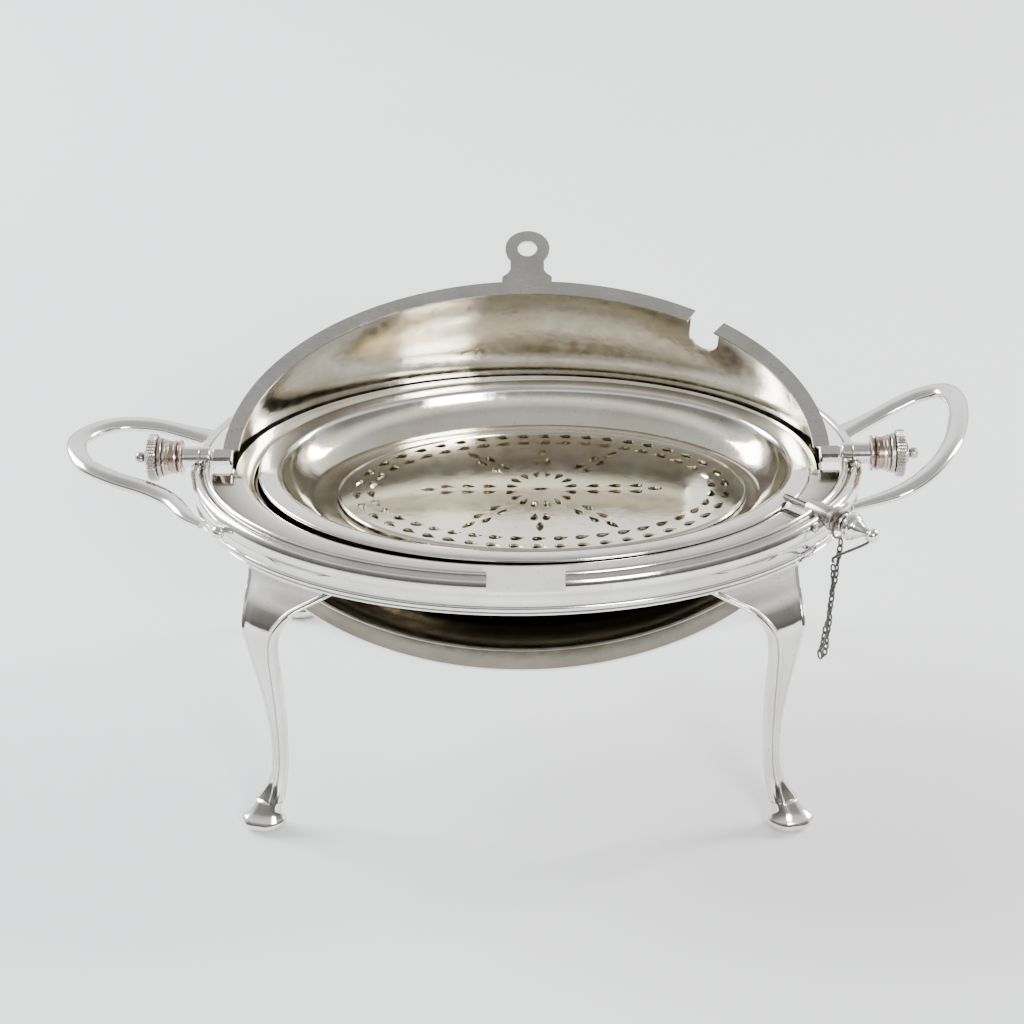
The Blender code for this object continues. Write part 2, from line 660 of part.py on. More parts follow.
def nut(start_x, side, long):
    """A turned nut whose wide ring has a notched edge to grip."""
    count = 36
    rings = []
    profile = [(0, 0.0084, 0), (0.0018, 0.0084, 0), (0.0022, NUT_R - 0.0004, 0), (0.0027, NUT_R, 1),
               (long - 0.0006, NUT_R, 1), (long, NUT_R - 0.0006, 0)]
    for along, radius, grip in profile:
        ring = []
        for k in range(count):
            turn = 2 * math.pi * k / count
            here = radius - 0.0006 * grip * (k % 2)
            ring.append((start_x + side * along, here * math.cos(turn), AXIS_Z + here * math.sin(turn)))
        rings.append(ring)
    return loft(rings)


# ------------------------------------------------- the pin, its ring and chain
def pin_at(along):
    """A point on the locking pin's line."""
    x, y = PIN_START
    return Vector((x, y, PIN_Z)) + PIN_WAY * along


def locking_pin():
    """Bush, rod, knob, the ring on the bush and the hook on the knob."""
    low, high = COLLAR_SPAN
    r = COLLAR_R
    body = [(low, r - 0.0008), (low + 0.0010, r), (0.0262, r), (0.0266, r + 0.0012), (0.0282, r + 0.0012),
            (0.0286, r - 0.0002), (GROOVE - 0.0012, r - 0.0002), (GROOVE - 0.0008, r - 0.0010),
            (GROOVE + 0.0008, r - 0.0010), (GROOVE + 0.0012, r), (high, r)]
    link("pin_bush", mesh_from(tube_about(body, PIN_BORE, 16, pin_at(0), PIN_WAY)), (0.5, 0.46, 0.4), 0.3)
    rod = [(0, 0.0006), (0.0010, PIN_R), (PIN_LENGTH, PIN_R)]
    link("pin_rod", mesh_from(turned(rod, 16, pin_at(0), PIN_WAY)), (0.3, 0.29, 0.28), 0.35)
    at = PIN_LENGTH + GAP
    knob = [(0, 0.0030), (0.0008, 0.0046), (0.0024, 0.0058), (0.0044, 0.0060), (0.0056, 0.0052), (0.0062, 0.0040),
            (0.0078, 0.0034), (0.0094, 0.0022), (0.0112, 0.0017), (0.0120, 0.0026), (0.0136, 0.0031),
            (0.0152, 0.0024), (0.0160, 0.0010)]
    link("pin_knob", mesh_from(turned(knob, 16, pin_at(at), PIN_WAY)), SILVER, 0.2)
    ring_radius = 0.0056
    wire = 0.0006
    middle = pin_at(GROOVE) + Vector((0, 0, COLLAR_R - 0.0010 + GAP + wire - ring_radius))
    link("chain_ring", mesh_from(ring_of_wire(middle, PIN_WAY, ring_radius, wire)), (0.3, 0.29, 0.28), 0.35)
    tie = pin_at(at + 0.0103)
    hook = [tie + Vector((0, 0, -0.0024)), tie + Vector((0.0004, -0.0002, -0.0048))]
    hook += [Vector(CHAIN_ROUTE[-1]) + Vector((0.0006, 0.0, 0.0040)), Vector(CHAIN_ROUTE[-1]) + Vector((0, 0, 0.0014))]
    path = smooth(hook, 10)
    link("chain_hook", mesh_from(sweep(path, lambda s: (0.0006, 0.0006), Vector((0, 0, 1)), 8)),
         (0.3, 0.29, 0.28), 0.35)


def ring_of_wire(middle, facing, radius, wire):
    """A closed round ring."""
    side = facing.cross(Vector((0, 0, 1))).normalized()
    up = side.cross(facing)
    rings = []
    for k in range(20):
        turn = 2 * math.pi * k / 20
        out = side * math.cos(turn) + up * math.sin(turn)
        ring = []
        for j in range(6):
            round_wire = 2 * math.pi * j / 6
            ring.append(middle + out * (radius + wire * math.cos(round_wire)) + facing * wire * math.sin(round_wire))
        rings.append(ring)
    return loft(rings, closed_path=True)


def chain():
    """The safety chain, as one plain length."""
    curve = bpy.data.curves.new("chain", "CURVE")
    curve.dimensions = "3D"
    curve.bevel_depth = CHAIN_R
    curve.bevel_resolution = 2
    curve.use_fill_caps = True
    route = smooth(CHAIN_ROUTE, 40)
    spline = curve.splines.new("POLY")
    spline.points.add(len(route) - 1)
    for point, place in zip(spline.points, route):
        point.co = (*place, 1)
    item = bpy.data.objects.new("chain", curve)
    bpy.context.scene.collection.objects.link(item)
    bpy.context.view_layer.update()
    mesh = bpy.data.meshes.new_from_object(item.evaluated_get(bpy.context.evaluated_depsgraph_get()))
    bpy.data.objects.remove(item, do_unlink=True)
    bm = bmesh.new()
    bm.from_mesh(mesh)
    link("safety_chain", mesh_from(bm), (0.2, 0.19, 0.18), 0.45)


# ---------------------------------------------------------- handles and legs
def handles():
    """A flattened wire loop at each end, with a leaf-shaped root at the back."""
    shapes = HANDLE_SHAPES
    for side, name in ((-1, "left"), (1, "right")):
        lean = math.tan(HANDLE_TILT[name])
        path = smooth([(side * x, y, 0.1284 + (x - 0.1400) * lean) for x, y in shapes[name]], 30)
        flat_way = Vector((-side * lean, 0, 1)).normalized()
        link(f"handle_{name}", mesh_from(sweep(path, handle_section, flat_way)))
        y = -0.0440 if side > 0 else -0.0540
        x = MOULD_OUT[0] * math.sqrt(1 - (y / MOULD_OUT[1]) ** 2) + 0.0034
        bead = turned([(-0.0036, 0.0012), (-0.0026, 0.0024), (0, 0.0028), (0.0026, 0.0024), (0.0036, 0.0012)],
                      14, (side * x, y, FLAT_Z), (side * 0.62, 1, 0))
        link(f"handle_bead_{name}", mesh_from(bead))


def handle_section(share):
    """The bar is broad at its back root and tapers to its front one."""
    broad = max(0.0, 1 - share / 0.14) ** 2
    slim = 1 - 0.45 * max(0.0, (share - 0.80) / 0.20) ** 1.5
    half_w, half_t = HANDLE_HALF
    return (half_w + 0.0018 * broad) * slim, half_t * slim


def leg_levels():
    """Height, lean out from the lip, half width and half thickness of a leg."""
    return [(LEG_TOP_Z, 0.0, 0.0225, 0.0011), (0.1125, 0.0035, 0.0185, 0.0013), (0.1070, 0.0095, 0.0130, 0.0017),
            (0.0980, 0.0142, 0.0090, 0.0024), (0.0880, 0.0142, 0.0070, 0.0028), (0.0760, 0.0126, 0.0056, 0.0030),
            (0.0620, 0.0108, 0.0043, 0.0030), (0.0480, 0.0098, 0.0033, 0.0029), (0.0340, 0.0100, 0.0030, 0.0028),
            (0.0240, 0.0114, 0.0034, 0.0028), (0.0170, 0.0142, 0.0046, 0.0030), (0.0128, 0.0164, 0.0056, 0.0036)]


def leg_frame(side, end):
    """The point, outward and sideways directions where a leg meets the lip."""
    t = LEG_TURN
    point = Vector((side * 0.1392 * math.cos(t), end * 0.0985 * math.sin(t), 0))
    out = Vector((side * 0.834, end * 0.552, 0))
    along = Vector((-side * 0.1392 * math.sin(t), end * 0.0985 * math.cos(t), 0)).normalized()
    return point, out, along


def leg_ring(side, end, level):
    """One level section of a leg: a strip bent to follow the oval lip."""
    z, lean, half_w, half_t = level
    point, out, along = leg_frame(side, end)
    inward = Vector((-side * 0.62, -end * 0.785, 0))
    ring = []
    for face in (1, -1):
        for k in range(7):
            s = (k / 3 - 1) * face
            taper = 1 - 0.45 * abs(s) ** 3
            bend = inward * (s * half_w) ** 2 * 4.2
            ring.append(point + out * lean + along * s * half_w + bend - inward * face * half_t * taper
                        + Vector((0, 0, z)))
    return ring


def legs():
    """Four cabriole legs on rounded scroll feet."""
    for end, where in ((-1, "front"), (1, "back")):
        for side, name in ((-1, "left"), (1, "right")):
            rings = [leg_ring(side, end, level) for level in leg_levels()]
            link(f"leg_{where}_{name}", mesh_from(loft(rings)))
            point, out, along = leg_frame(side, end)
            middle = point + out * 0.0190 + along * 0.0005
            link(f"foot_{where}_{name}", mesh_from(foot(middle, out, along)))


def foot(middle, out, along):
    """A rounded toe, flat underneath, narrower where the leg stands on it."""
    rings = []
    for z, wide, deep, shift in ((0.0, 0.0068, 0.0058, 0.0020), (0.0012, 0.0084, 0.0074, 0.0022),
                                 (0.0040, 0.0092, 0.0084, 0.0020), (0.0070, 0.0086, 0.0076, 0.0010),
                                 (0.0098, 0.0070, 0.0058, -0.0006), (0.0125, 0.0052, 0.0042, -0.0018)):
        ring = []
        for k in range(20):
            turn = 2 * math.pi * k / 20
            place = middle + along * wide * math.cos(turn) + out * (deep * math.sin(turn) + shift)
            ring.append(place + Vector((0, 0, z)))
        rings.append(ring)
    return loft(rings)


def main():
    start()
    frame()
    water_pan()
    liner()
    drainer()
    dome()
    flange()
    back_band()
    end_fittings()
    locking_pin()
    chain()
    handles()
    legs()


main()
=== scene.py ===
"""The roll top chafer as it is seen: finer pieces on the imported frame.

Metres, +Z up, in the same frame as the solids.
"""
import math

import bmesh
import bpy
from mathutils import Matrix, Vector


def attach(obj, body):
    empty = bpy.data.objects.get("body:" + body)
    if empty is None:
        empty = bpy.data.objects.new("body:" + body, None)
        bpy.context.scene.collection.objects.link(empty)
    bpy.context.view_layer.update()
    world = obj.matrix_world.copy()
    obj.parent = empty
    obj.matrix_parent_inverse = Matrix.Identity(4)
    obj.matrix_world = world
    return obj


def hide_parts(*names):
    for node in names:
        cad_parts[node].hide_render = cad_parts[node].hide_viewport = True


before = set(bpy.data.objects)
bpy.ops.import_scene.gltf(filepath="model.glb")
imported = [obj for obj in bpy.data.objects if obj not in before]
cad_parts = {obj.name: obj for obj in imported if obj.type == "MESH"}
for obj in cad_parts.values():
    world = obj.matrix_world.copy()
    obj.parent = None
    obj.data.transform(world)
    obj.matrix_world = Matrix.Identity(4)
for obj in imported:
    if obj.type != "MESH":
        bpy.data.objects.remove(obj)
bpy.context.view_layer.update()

# ---------------------------------------------------------------- dimensions
AXIS_Z = 0.134              # height of the lid's axis above the floor
FLAT_Z = 0.1285             # top of the flat rim that the lid shuts on
GAP = 0.0003                # clearance between pieces that touch
SHEET = 0.0012              # thickness of the raised silver plate

THROAT = (0.121, 0.0825)   # half length and half depth of the well's mouth
THROAT_FOOT = (0.1135, 0.075)
THROAT_DEPTH = 0.007
PAN_FLOOR = (0.078, 0.04)
PAN_DEPTH = 0.039
INNER_RING = (0.1245, 0.086)   # back edge of the flat, beside the slot
MOULD_FOOT = (0.134, 0.0943)
MOULD_OUT = (0.144, 0.1015)
RAIL_OUT = 0.11           # half depth of the rim at the back
RAIL_IN = (0.1378, 0.105)  # outer edge of the slot
LIP_DROP = 0.012
SLOT_FRONT = -0.0046
TAB_GAP = 0.0155            # half width of the break in the front moulding
TAB_GAP_X = 0.0026          # the break was cut a little to the right

LINER = (0.1183, 0.0797)
LINER_BOWL = (0.1085, 0.0717)
LINER_LEDGE = (0.095, 0.058)
LINER_FLOOR = (0.07, 0.033)
LINER_DEPTH = 0.025
LINER_SHIFT = 0.0039        # the loose liner lies against the right end
DRAINER = (0.088, 0.0516)
DRAINER_DROP = 0.0125
DRAINER_SHIFT = 0.0068
DRAINER_THICK = 0.001

LID_OPEN = math.radians(151.6)      # shown angle, counted from shut
LID_FULL = math.radians(163.0)      # fully rolled back
DOME = (0.128, 0.0885)
DOME_THICK = 0.001
FLARE = 0.006              # the dome's lower edge swells out by this much
FLARE_START = math.radians(150)
DOME_END = math.radians(179.6)
HUB_RADIUS = 0.0068         # hole in each end of the dome, round its block
FRAME_PASS = 0.0092         # how far under the axis the dome clears the rim
FLANGE_IN = (0.1235, 0.086)
FLANGE_OUT = (0.1305, 0.093)
FLANGE_THICK = 0.0012
TAB_LENGTH = 0.0285
TAB_HEAD = 0.0101
TAB_NECK = 0.0076
TAB_FOOT = 0.0112
TAB_HOLE = 0.0043
NOTCH_X = 0.0815            # middle of the notch for a spoon
NOTCH_HALF = 0.007
NOTCH_DEPTH = 0.017
BAND_IN = 0.0949
BAND_OUT = 0.1036
BAND_END = math.radians(25)         # where the band stops short of each hub

BLOCK_X = (0.1256, 0.1345)
BLOCK_HALF = (0.0033, 0.0029)
SPINDLE_R = 0.0046
SPINDLE_END = 0.1468
COLLAR_END = 0.1553
NUT_END = 0.1616
NUT_R = 0.0101
TIP_END = 0.168

PIN_START = (0.1083, -0.033)       # inner tip of the locking pin, in plan
PIN_WAY = Vector((0.718, -0.696, 0)).normalized()
PIN_Z = 0.132
PIN_R = 0.0015
PIN_BORE = 0.0019
PIN_LENGTH = 0.0326
COLLAR_SPAN = (0.0134, 0.0324)
GROOVE = 0.0304             # the groove that the chain's ring hangs in
COLLAR_R = 0.0042

HANDLE_HALF = (0.0047, 0.0028)      # half width and half thickness of the bar
HANDLE_TILT = {"left": math.radians(6), "right": math.radians(20)}
HANDLE_SHAPES = {
    "left": [(0.142, 0.0275), (0.15, 0.0305), (0.165, 0.0345), (0.182, 0.032), (0.193, 0.021),
        (0.195, 0.009), (0.188, -0.006), (0.175, -0.015), (0.16, -0.0215), (0.15, -0.028),
        (0.1446, -0.0345), (0.1404, -0.0405), (0.1366, -0.046)],
    "right": [(0.142, 0.0279), (0.151, 0.0339), (0.162, 0.0385), (0.1725, 0.0412), (0.1825, 0.038),
        (0.1862, 0.026), (0.185, 0.009), (0.18, -0.009), (0.17, -0.025), (0.157, -0.0338),
        (0.1408, -0.0352)],
}

LEG_TOP_Z = FLAT_Z - LIP_DROP - GAP
LEG_TURN = math.atan2(0.072 / 0.0985, 0.095 / 0.1392)     # where a leg stands on the oval

# the chain's route: down from its ring, round, and up to the hook
CHAIN_ROUTE = [
    (0.1303, -0.0543, 0.1238), (0.13, -0.0543, 0.119), (0.1291, -0.0543, 0.108), (0.1278, -0.0544, 0.095),
    (0.1264, -0.0545, 0.083), (0.125, -0.0546, 0.074), (0.1241, -0.0549, 0.069), (0.1244, -0.056, 0.0672),
    (0.1254, -0.0572, 0.0686), (0.1261, -0.0581, 0.074), (0.1266, -0.0588, 0.083),
        (0.127, -0.0593, 0.093),
    (0.1272, -0.0598, 0.103), (0.1272, -0.0601, 0.111), (0.127, -0.0603, 0.115),
]
TOE_LOBE = 0.06
LEG_OVAL = (0.1392, 0.0985)   # half axes of the oval the leg tops stand on
FLOOR_TONE = ((0.93, 0.94, 0.95), (0.96, 0.97, 0.98))
WORLD_POWER = 1.55
COMMA_PAIRS = 42
CAMERA_PLACE = (0.02841, -0.87741, 0.61625)
CAMERA_TURN = (-0.03927, 0.52651, -0.0248)   # yaw, pitch and roll, in radians
LENS = 82.17
SENSOR = 36
# brightness of the room behind the viewer and behind the dish, floor to ceiling
FRONT_ROOM = ((0.0, (0.07, 0.07, 0.07)), (0.12, (0.1, 0.097, 0.094)), (0.4, (0.2, 0.19, 0.18)),
        (0.62, (0.7, 0.7, 0.7)), (0.8, (0.3, 0.3, 0.31)), (1.0, (0.36, 0.36, 0.37)))
BACK_ROOM = ((0.0, (0.5, 0.51, 0.53)), (0.1, (0.8, 0.82, 0.85)), (0.34, (1.1, 1.13, 1.18)),
        (0.62, (1.0, 1.0, 1.0)), (0.84, (0.42, 0.42, 0.43)), (1.0, (0.36, 0.36, 0.37)))


# ------------------------------------------------------------ shape helpers
def loft(rings, closed_path=False):
    """Skin equal rings of points; the ends are capped unless the path closes."""
    bm = bmesh.new()
    rows = [[bm.verts.new(point) for point in ring] for ring in rings]
    count = len(rows[0])
    pairs = list(zip(rows, rows[1:]))
    if closed_path:
        pairs.append((rows[-1], rows[0]))
    for one, two in pairs:
        for i in range(count):
            j = (i + 1) % count
            bm.faces.new((one[i], one[j], two[j], two[i]))
    if not closed_path:
        bm.faces.new(rows[0])
        bm.faces.new(rows[-1][::-1])
    return bm


def oval_point(half_x, half_y, turn, back=None):
    """A point on an oval whose back half may be deeper than its front."""
    y = math.sin(turn)
    depth = back if back is not None and y > 0 else half_y
    return half_x * math.cos(turn), depth * y


def oval_ring(profile, steps, shift=0.0):
    """A closed ring with one section, given as (half x, half y, z[, back])."""
    rings = []
    for k in range(steps):
        turn = 2 * math.pi * k / steps
        ring = []
        for half_x, half_y, z, *back in profile:
            x, y = oval_point(half_x, half_y, turn, back[0] if back else None)
            ring.append((x + shift, y, z))
        rings.append(ring)
    return loft(rings, closed_path=True)


def oval_bowl(outer, inner, steps, shift=0.0):
    """An oval dish between an outer and an inner profile, rim first."""
    bm = bmesh.new()

    def row(half_x, half_y, z):
        turns = (2 * math.pi * k / steps for k in range(steps))
        return [bm.verts.new((half_x * math.cos(t) + shift, half_y * math.sin(t), z)) for t in turns]

    rows = [row(*p) for p in outer[::-1] + inner]
    for one, two in zip(rows, rows[1:]):
        for i in range(steps):
            j = (i + 1) % steps
            bm.faces.new((one[i], one[j], two[j], two[i]))
    bm.faces.new(rows[0])
    bm.faces.new(rows[-1][::-1])
    return bm


def turned(profile, steps, start_point, way):
    """A turned solid: (distance along the axis, radius) from one end to the other."""
    way = Vector(way).normalized()
    side = way.cross(Vector((0, 0, 1))).normalized()
    up = side.cross(way)
    rings = []
    for along, radius in profile:
        middle = Vector(start_point) + way * along
        ring = []
        for k in range(steps):
            turn = 2 * math.pi * k / steps
            ring.append(middle + (side * math.cos(turn) + up * math.sin(turn)) * radius)
        rings.append(ring)
    return loft(rings)


def tube_about(profile, bore, steps, start_point, way):
    """A turned solid with a straight bore right through it."""
    low, high = profile[0][0], profile[-1][0]
    section = list(profile) + [(high, bore), (low, bore)]
    way = Vector(way).normalized()
    side = way.cross(Vector((0, 0, 1))).normalized()
    up = side.cross(way)
    rings = []
    for k in range(steps):
        turn = 2 * math.pi * k / steps
        out = side * math.cos(turn) + up * math.sin(turn)
        rings.append([Vector(start_point) + way * a + out * r for a, r in section])
    return loft(rings, closed_path=True)


def smooth(points, count):
    """Read evenly spaced points from a smooth curve through the given ones."""
    points = [Vector(p) for p in points]
    ends = [points[0] * 2 - points[1]] + points + [points[-1] * 2 - points[-2]]
    fine = []
    for a, b, c, d in zip(ends, ends[1:], ends[2:], ends[3:]):
        for k in range(24):
            t = k / 24
            fine.append(0.5 * ((2 * b) + (c - a) * t + (2 * a - 5 * b + 4 * c - d) * t * t
                    + (3 * b - a - 3 * c + d) * t ** 3))
    fine.append(points[-1])
    lengths = [0.0]
    for a, b in zip(fine, fine[1:]):
        lengths.append(lengths[-1] + (b - a).length)
    out = []
    j = 0
    for k in range(count):
        want = lengths[-1] * k / (count - 1)
        while j < len(fine) - 2 and lengths[j + 1] < want:
            j += 1
        span = lengths[j + 1] - lengths[j]
        out.append(fine[j].lerp(fine[j + 1], min(1, (want - lengths[j]) / span)))
    return out


def sweep(path, halves, flat_way, sides=10):
    """A bar with an oval section along a path, wide across flat_way."""
    rings = []
    for k, point in enumerate(path):
        ahead = path[min(k + 1, len(path) - 1)] - path[max(k - 1, 0)]
        ahead.normalize()
        wide = flat_way.cross(ahead).normalized()
        thin = ahead.cross(wide)
        half_w, half_t = halves(k / (len(path) - 1))
        ring = []
        for i in range(sides):
            turn = 2 * math.pi * i / sides
            ring.append(point + wide * half_w * math.cos(turn) + thin * half_t * math.sin(turn))
        rings.append(ring)
    return loft(rings)


def lid_point(x, radius, turn):
    """A point of the lid as it stands: turn is counted from its front edge."""
    at = LID_OPEN + turn
    return Vector((x, -radius * math.cos(at), AXIS_Z + radius * math.sin(at)))


def flat_plate(outline, holes, thickness):
    """A flat plate with holes, from a filled 2D curve."""
    curve = bpy.data.curves.new("outline", "CURVE")
    curve.dimensions = "2D"
    curve.fill_mode = "BOTH"
    curve.extrude = thickness / 2
    for ring in [outline] + holes:
        spline = curve.splines.new("POLY")
        spline.points.add(len(ring) - 1)
        spline.use_cyclic_u = True
        for point, (x, y) in zip(spline.points, ring):
            point.co = (x, y, 0, 1)
    item = bpy.data.objects.new("outline", curve)
    bpy.context.scene.collection.objects.link(item)
    bpy.context.view_layer.update()
    solid = item.evaluated_get(bpy.context.evaluated_depsgraph_get())
    mesh = bpy.data.meshes.new_from_object(solid)
    bpy.data.objects.remove(item, do_unlink=True)
    bm = bmesh.new()
    bm.from_mesh(mesh)
    return bm


def lid_turn():
    """The move from the shut lid's own frame to the lid as it stands."""
    return Matrix.Translation((0, 0, AXIS_Z)) @ Matrix.Rotation(-LID_OPEN, 4, "X")


def flange_ends(outline):
    """The two turns where the flange stops beside the end blocks."""
    return math.asin((BLOCK_HALF[0] + GAP) / outline[1])


def edge(outline, first, last, steps):
    """Points along the flange's outer or inner oval."""
    turns = (first + (last - first) * k / steps for k in range(steps + 1))
    return [(outline[0] * math.cos(t), -outline[1] * math.sin(t)) for t in turns]


def pin_at(along):
    """A point on the locking pin's line."""
    x, y = PIN_START
    return Vector((x, y, PIN_Z)) + PIN_WAY * along


def ring_of_wire(middle, facing, radius, wire):
    """A closed round ring."""
    side = facing.cross(Vector((0, 0, 1))).normalized()
    up = side.cross(facing)
    rings = []
    for k in range(20):
        turn = 2 * math.pi * k / 20
        out = side * math.cos(turn) + up * math.sin(turn)
        ring = []
        for j in range(6):
            round_wire = 2 * math.pi * j / 6
            ring.append(middle + out * (radius + wire * math.cos(round_wire))
                    + facing * wire * math.sin(round_wire))
        rings.append(ring)
    return loft(rings, closed_path=True)


def handle_section(share):
    """The bar is broad at its back root and tapers to its front one."""
    broad = max(0.0, 1 - share / 0.14) ** 2
    slim = 1 - 0.45 * max(0.0, (share - 0.8) / 0.2) ** 1.5
    half_w, half_t = HANDLE_HALF
    return (half_w + 0.0018 * broad) * slim, half_t * slim


def leg_levels():
    """Height, lean out from the lip, half width and half thickness of a leg."""
    return [(LEG_TOP_Z, 0.0, 0.0225, 0.0011), (0.1125, 0.0035, 0.0185, 0.0013),
            (0.107, 0.0095, 0.013, 0.0017),
            (0.098, 0.0142, 0.009, 0.0024), (0.088, 0.0142, 0.007, 0.0028),
            (0.076, 0.0126, 0.0056, 0.003),
            (0.062, 0.0108, 0.0043, 0.003), (0.048, 0.0098, 0.0033, 0.0029), (0.034, 0.01, 0.003, 0.0028),
            (0.024, 0.0114, 0.0034, 0.0028), (0.017, 0.0142, 0.0046, 0.003),
            (0.0128, 0.0164, 0.0056, 0.0036)]


def leg_frame(side, end):
    """The point, outward and sideways directions where a leg meets the lip."""
    t = LEG_TURN
    point = Vector((side * LEG_OVAL[0] * math.cos(t), end * LEG_OVAL[1] * math.sin(t), 0))
    out = Vector((side * 0.834, end * 0.552, 0))
    along = Vector((-side * LEG_OVAL[0] * math.sin(t), end * LEG_OVAL[1] * math.cos(t), 0)).normalized()
    return point, out, along


# ------------------------------------------------------------------- finishes
def graph(name):
    """A new metal material and a quick way to add nodes to it."""
    made = bpy.data.materials.new(name)
    made.use_nodes = True
    tree = made.node_tree
    shader = tree.nodes["Principled BSDF"]
    shader.inputs["Metallic"].default_value = 1.0
    return made, tree, shader


def noise(tree, scale, detail, stretch=(1, 1, 1), rough=0.6):
    """Noise over the object's own metres."""
    place = tree.nodes.new("ShaderNodeTexCoord")
    mapping = tree.nodes.new("ShaderNodeMapping")
    mapping.inputs["Scale"].default_value = stretch
    tree.links.new(place.outputs["Object"], mapping.inputs["Vector"])
    made = tree.nodes.new("ShaderNodeTexNoise")
    made.inputs["Scale"].default_value = scale
    made.inputs["Detail"].default_value = detail
    made.inputs["Roughness"].default_value = rough
    tree.links.new(mapping.outputs["Vector"], made.inputs["Vector"])
    return made.outputs["Fac"]


def ramp(tree, value, low, high, first, last):
    """A two-stop ramp from one colour or grey to another."""
    made = tree.nodes.new("ShaderNodeValToRGB")
    made.color_ramp.elements[0].position = low
    made.color_ramp.elements[1].position = high
    made.color_ramp.elements[0].color = (*first, 1)
    made.color_ramp.elements[1].color = (*last, 1)
    tree.links.new(value, made.inputs["Fac"])
    return made.outputs["Color"]


def blend_colour(tree, one, two, share):
    """Mix two colours."""
    made = tree.nodes.new("ShaderNodeMix")
    made.data_type = "RGBA"
    tree.links.new(one, made.inputs["A"])
    tree.links.new(two, made.inputs["B"])
    tree.links.new(share, made.inputs["Factor"])
    return made.outputs["Result"]


def metal(name, clean, worn, gloss, wear, bump=0.02, brushed=(1, 1, 1), well=None):
    """Old polished metal: drifting tone, small dark specks, fine rubbing, darker creases that are partly
    tarnish and partly painted shade, and, when well is given, painted shade below that height.
    """
    made, tree, shader = graph(name)
    drift = noise(tree, 38, 4)
    tone = ramp(tree, drift, 0.42, 0.74, clean, worn)
    specks = ramp(tree, noise(tree, 900, 2), 0.66, 0.76, (0, 0, 0), (1, 1, 1))
    dark = tree.nodes.new("ShaderNodeRGB")
    dark.outputs[0].default_value = (worn[0] * 0.55, worn[1] * 0.5, worn[2] * 0.42, 1)
    marked = blend_colour(tree, tone, dark.outputs[0], specks)
    # Concave creases (low pointiness) take a darker colour: partly tarnish in the hollows, partly painted
    # shade where the creases lie in shade.
    shape = tree.nodes.new("ShaderNodeNewGeometry")
    crease = ramp(tree, shape.outputs["Pointiness"], 0.44, 0.492, (1, 1, 1), (0, 0, 0))
    crease_tarnish_and_shade = tree.nodes.new("ShaderNodeRGB")
    crease_tarnish_and_shade.outputs[0].default_value = (worn[0] * 0.34, worn[1] * 0.31, worn[2] * 0.27, 1)
    tone = blend_colour(tree, marked, crease_tarnish_and_shade.outputs[0], crease)
    # Below the height well the colour is darkened to near black: painted shade under the drainer.
    if well is not None:
        where = tree.nodes.new("ShaderNodeTexCoord")
        axes = tree.nodes.new("ShaderNodeSeparateXYZ")
        tree.links.new(where.outputs["Object"], axes.inputs["Vector"])
        drainer_shade = tree.nodes.new("ShaderNodeRGB")
        drainer_shade.outputs[0].default_value = (0.035, 0.03, 0.026, 1)
        deep = ramp(tree, axes.outputs["Z"], well, well + 0.0004, (1, 1, 1), (0, 0, 0))
        tone = blend_colour(tree, tone, drainer_shade.outputs[0], deep)
    tree.links.new(tone, shader.inputs["Base Color"])
    rubbed = ramp(tree, noise(tree, 160, 6, brushed), 0.35, 0.75, (gloss,) * 3, (gloss + wear,) * 3)
    tree.links.new(rubbed, shader.inputs["Roughness"])
    dents = tree.nodes.new("ShaderNodeBump")
    dents.inputs["Strength"].default_value = bump
    dents.inputs["Distance"].default_value = 0.002
    tree.links.new(noise(tree, 70, 3), dents.inputs["Height"])
    fine = tree.nodes.new("ShaderNodeBump")
    fine.inputs["Strength"].default_value = bump * 0.8
    fine.inputs["Distance"].default_value = 0.0002
    tree.links.new(noise(tree, 1500, 3, brushed), fine.inputs["Height"])
    tree.links.new(dents.outputs["Normal"], fine.inputs["Normal"])
    tree.links.new(fine.outputs["Normal"], shader.inputs["Normal"])
    return made


PLATE = metal("silver_plate", (0.84, 0.83, 0.8), (0.7, 0.68, 0.62), 0.07, 0.09)
PLATE_FLAT = metal("silver_flat", (0.6, 0.585, 0.54), (0.5, 0.48, 0.43), 0.2, 0.1, 0.03, (1, 6, 1))
# The liner is darkened to near black below the drainer's level: painted shade under the drainer.
LINER_TONE = metal("liner_plate", (0.84, 0.83, 0.79), (0.7, 0.67, 0.6), 0.07, 0.09,
        well=FLAT_Z - DRAINER_DROP - 0.0002)
GILT = metal("warm_inside", (0.9, 0.86, 0.75), (0.78, 0.71, 0.56), 0.08, 0.1, 0.05)
THROAT_TONE = metal("throat_plate", (0.9, 0.87, 0.79), (0.76, 0.7, 0.57), 0.08, 0.1)
FITTING = metal("worn_fitting", (0.55, 0.52, 0.48), (0.34, 0.29, 0.25), 0.2, 0.2, 0.04)
COPPER = metal("coppery_collar", (0.62, 0.52, 0.45), (0.38, 0.28, 0.22), 0.18, 0.2, 0.04)
STEEL = metal("dark_steel", (0.13, 0.12, 0.115), (0.06, 0.05, 0.045), 0.34, 0.2, 0.06)
TINNED = metal("dull_inside", (0.16, 0.12, 0.1), (0.08, 0.055, 0.045), 0.34, 0.2, 0.05)


# -------------------------------------------------------------------- pieces
def piece(name, bm, material, body, slot, *stands_for, angle=38):
    """Put a finished piece on its body in place of the plain solid."""
    bmesh.ops.remove_doubles(bm, verts=bm.verts, dist=1e-7)
    bmesh.ops.recalc_face_normals(bm, faces=bm.faces)
    mesh = bpy.data.meshes.new(name)
    bm.to_mesh(mesh)
    bm.free()
    item = bpy.data.objects.new(name, mesh)
    bpy.context.scene.collection.objects.link(item)
    mesh.materials.append(material)
    mesh.shade_smooth()
    mesh.set_sharp_from_angle(angle=math.radians(angle))
    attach(item, body)
    if stands_for:
        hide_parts(*stands_for)
    return item


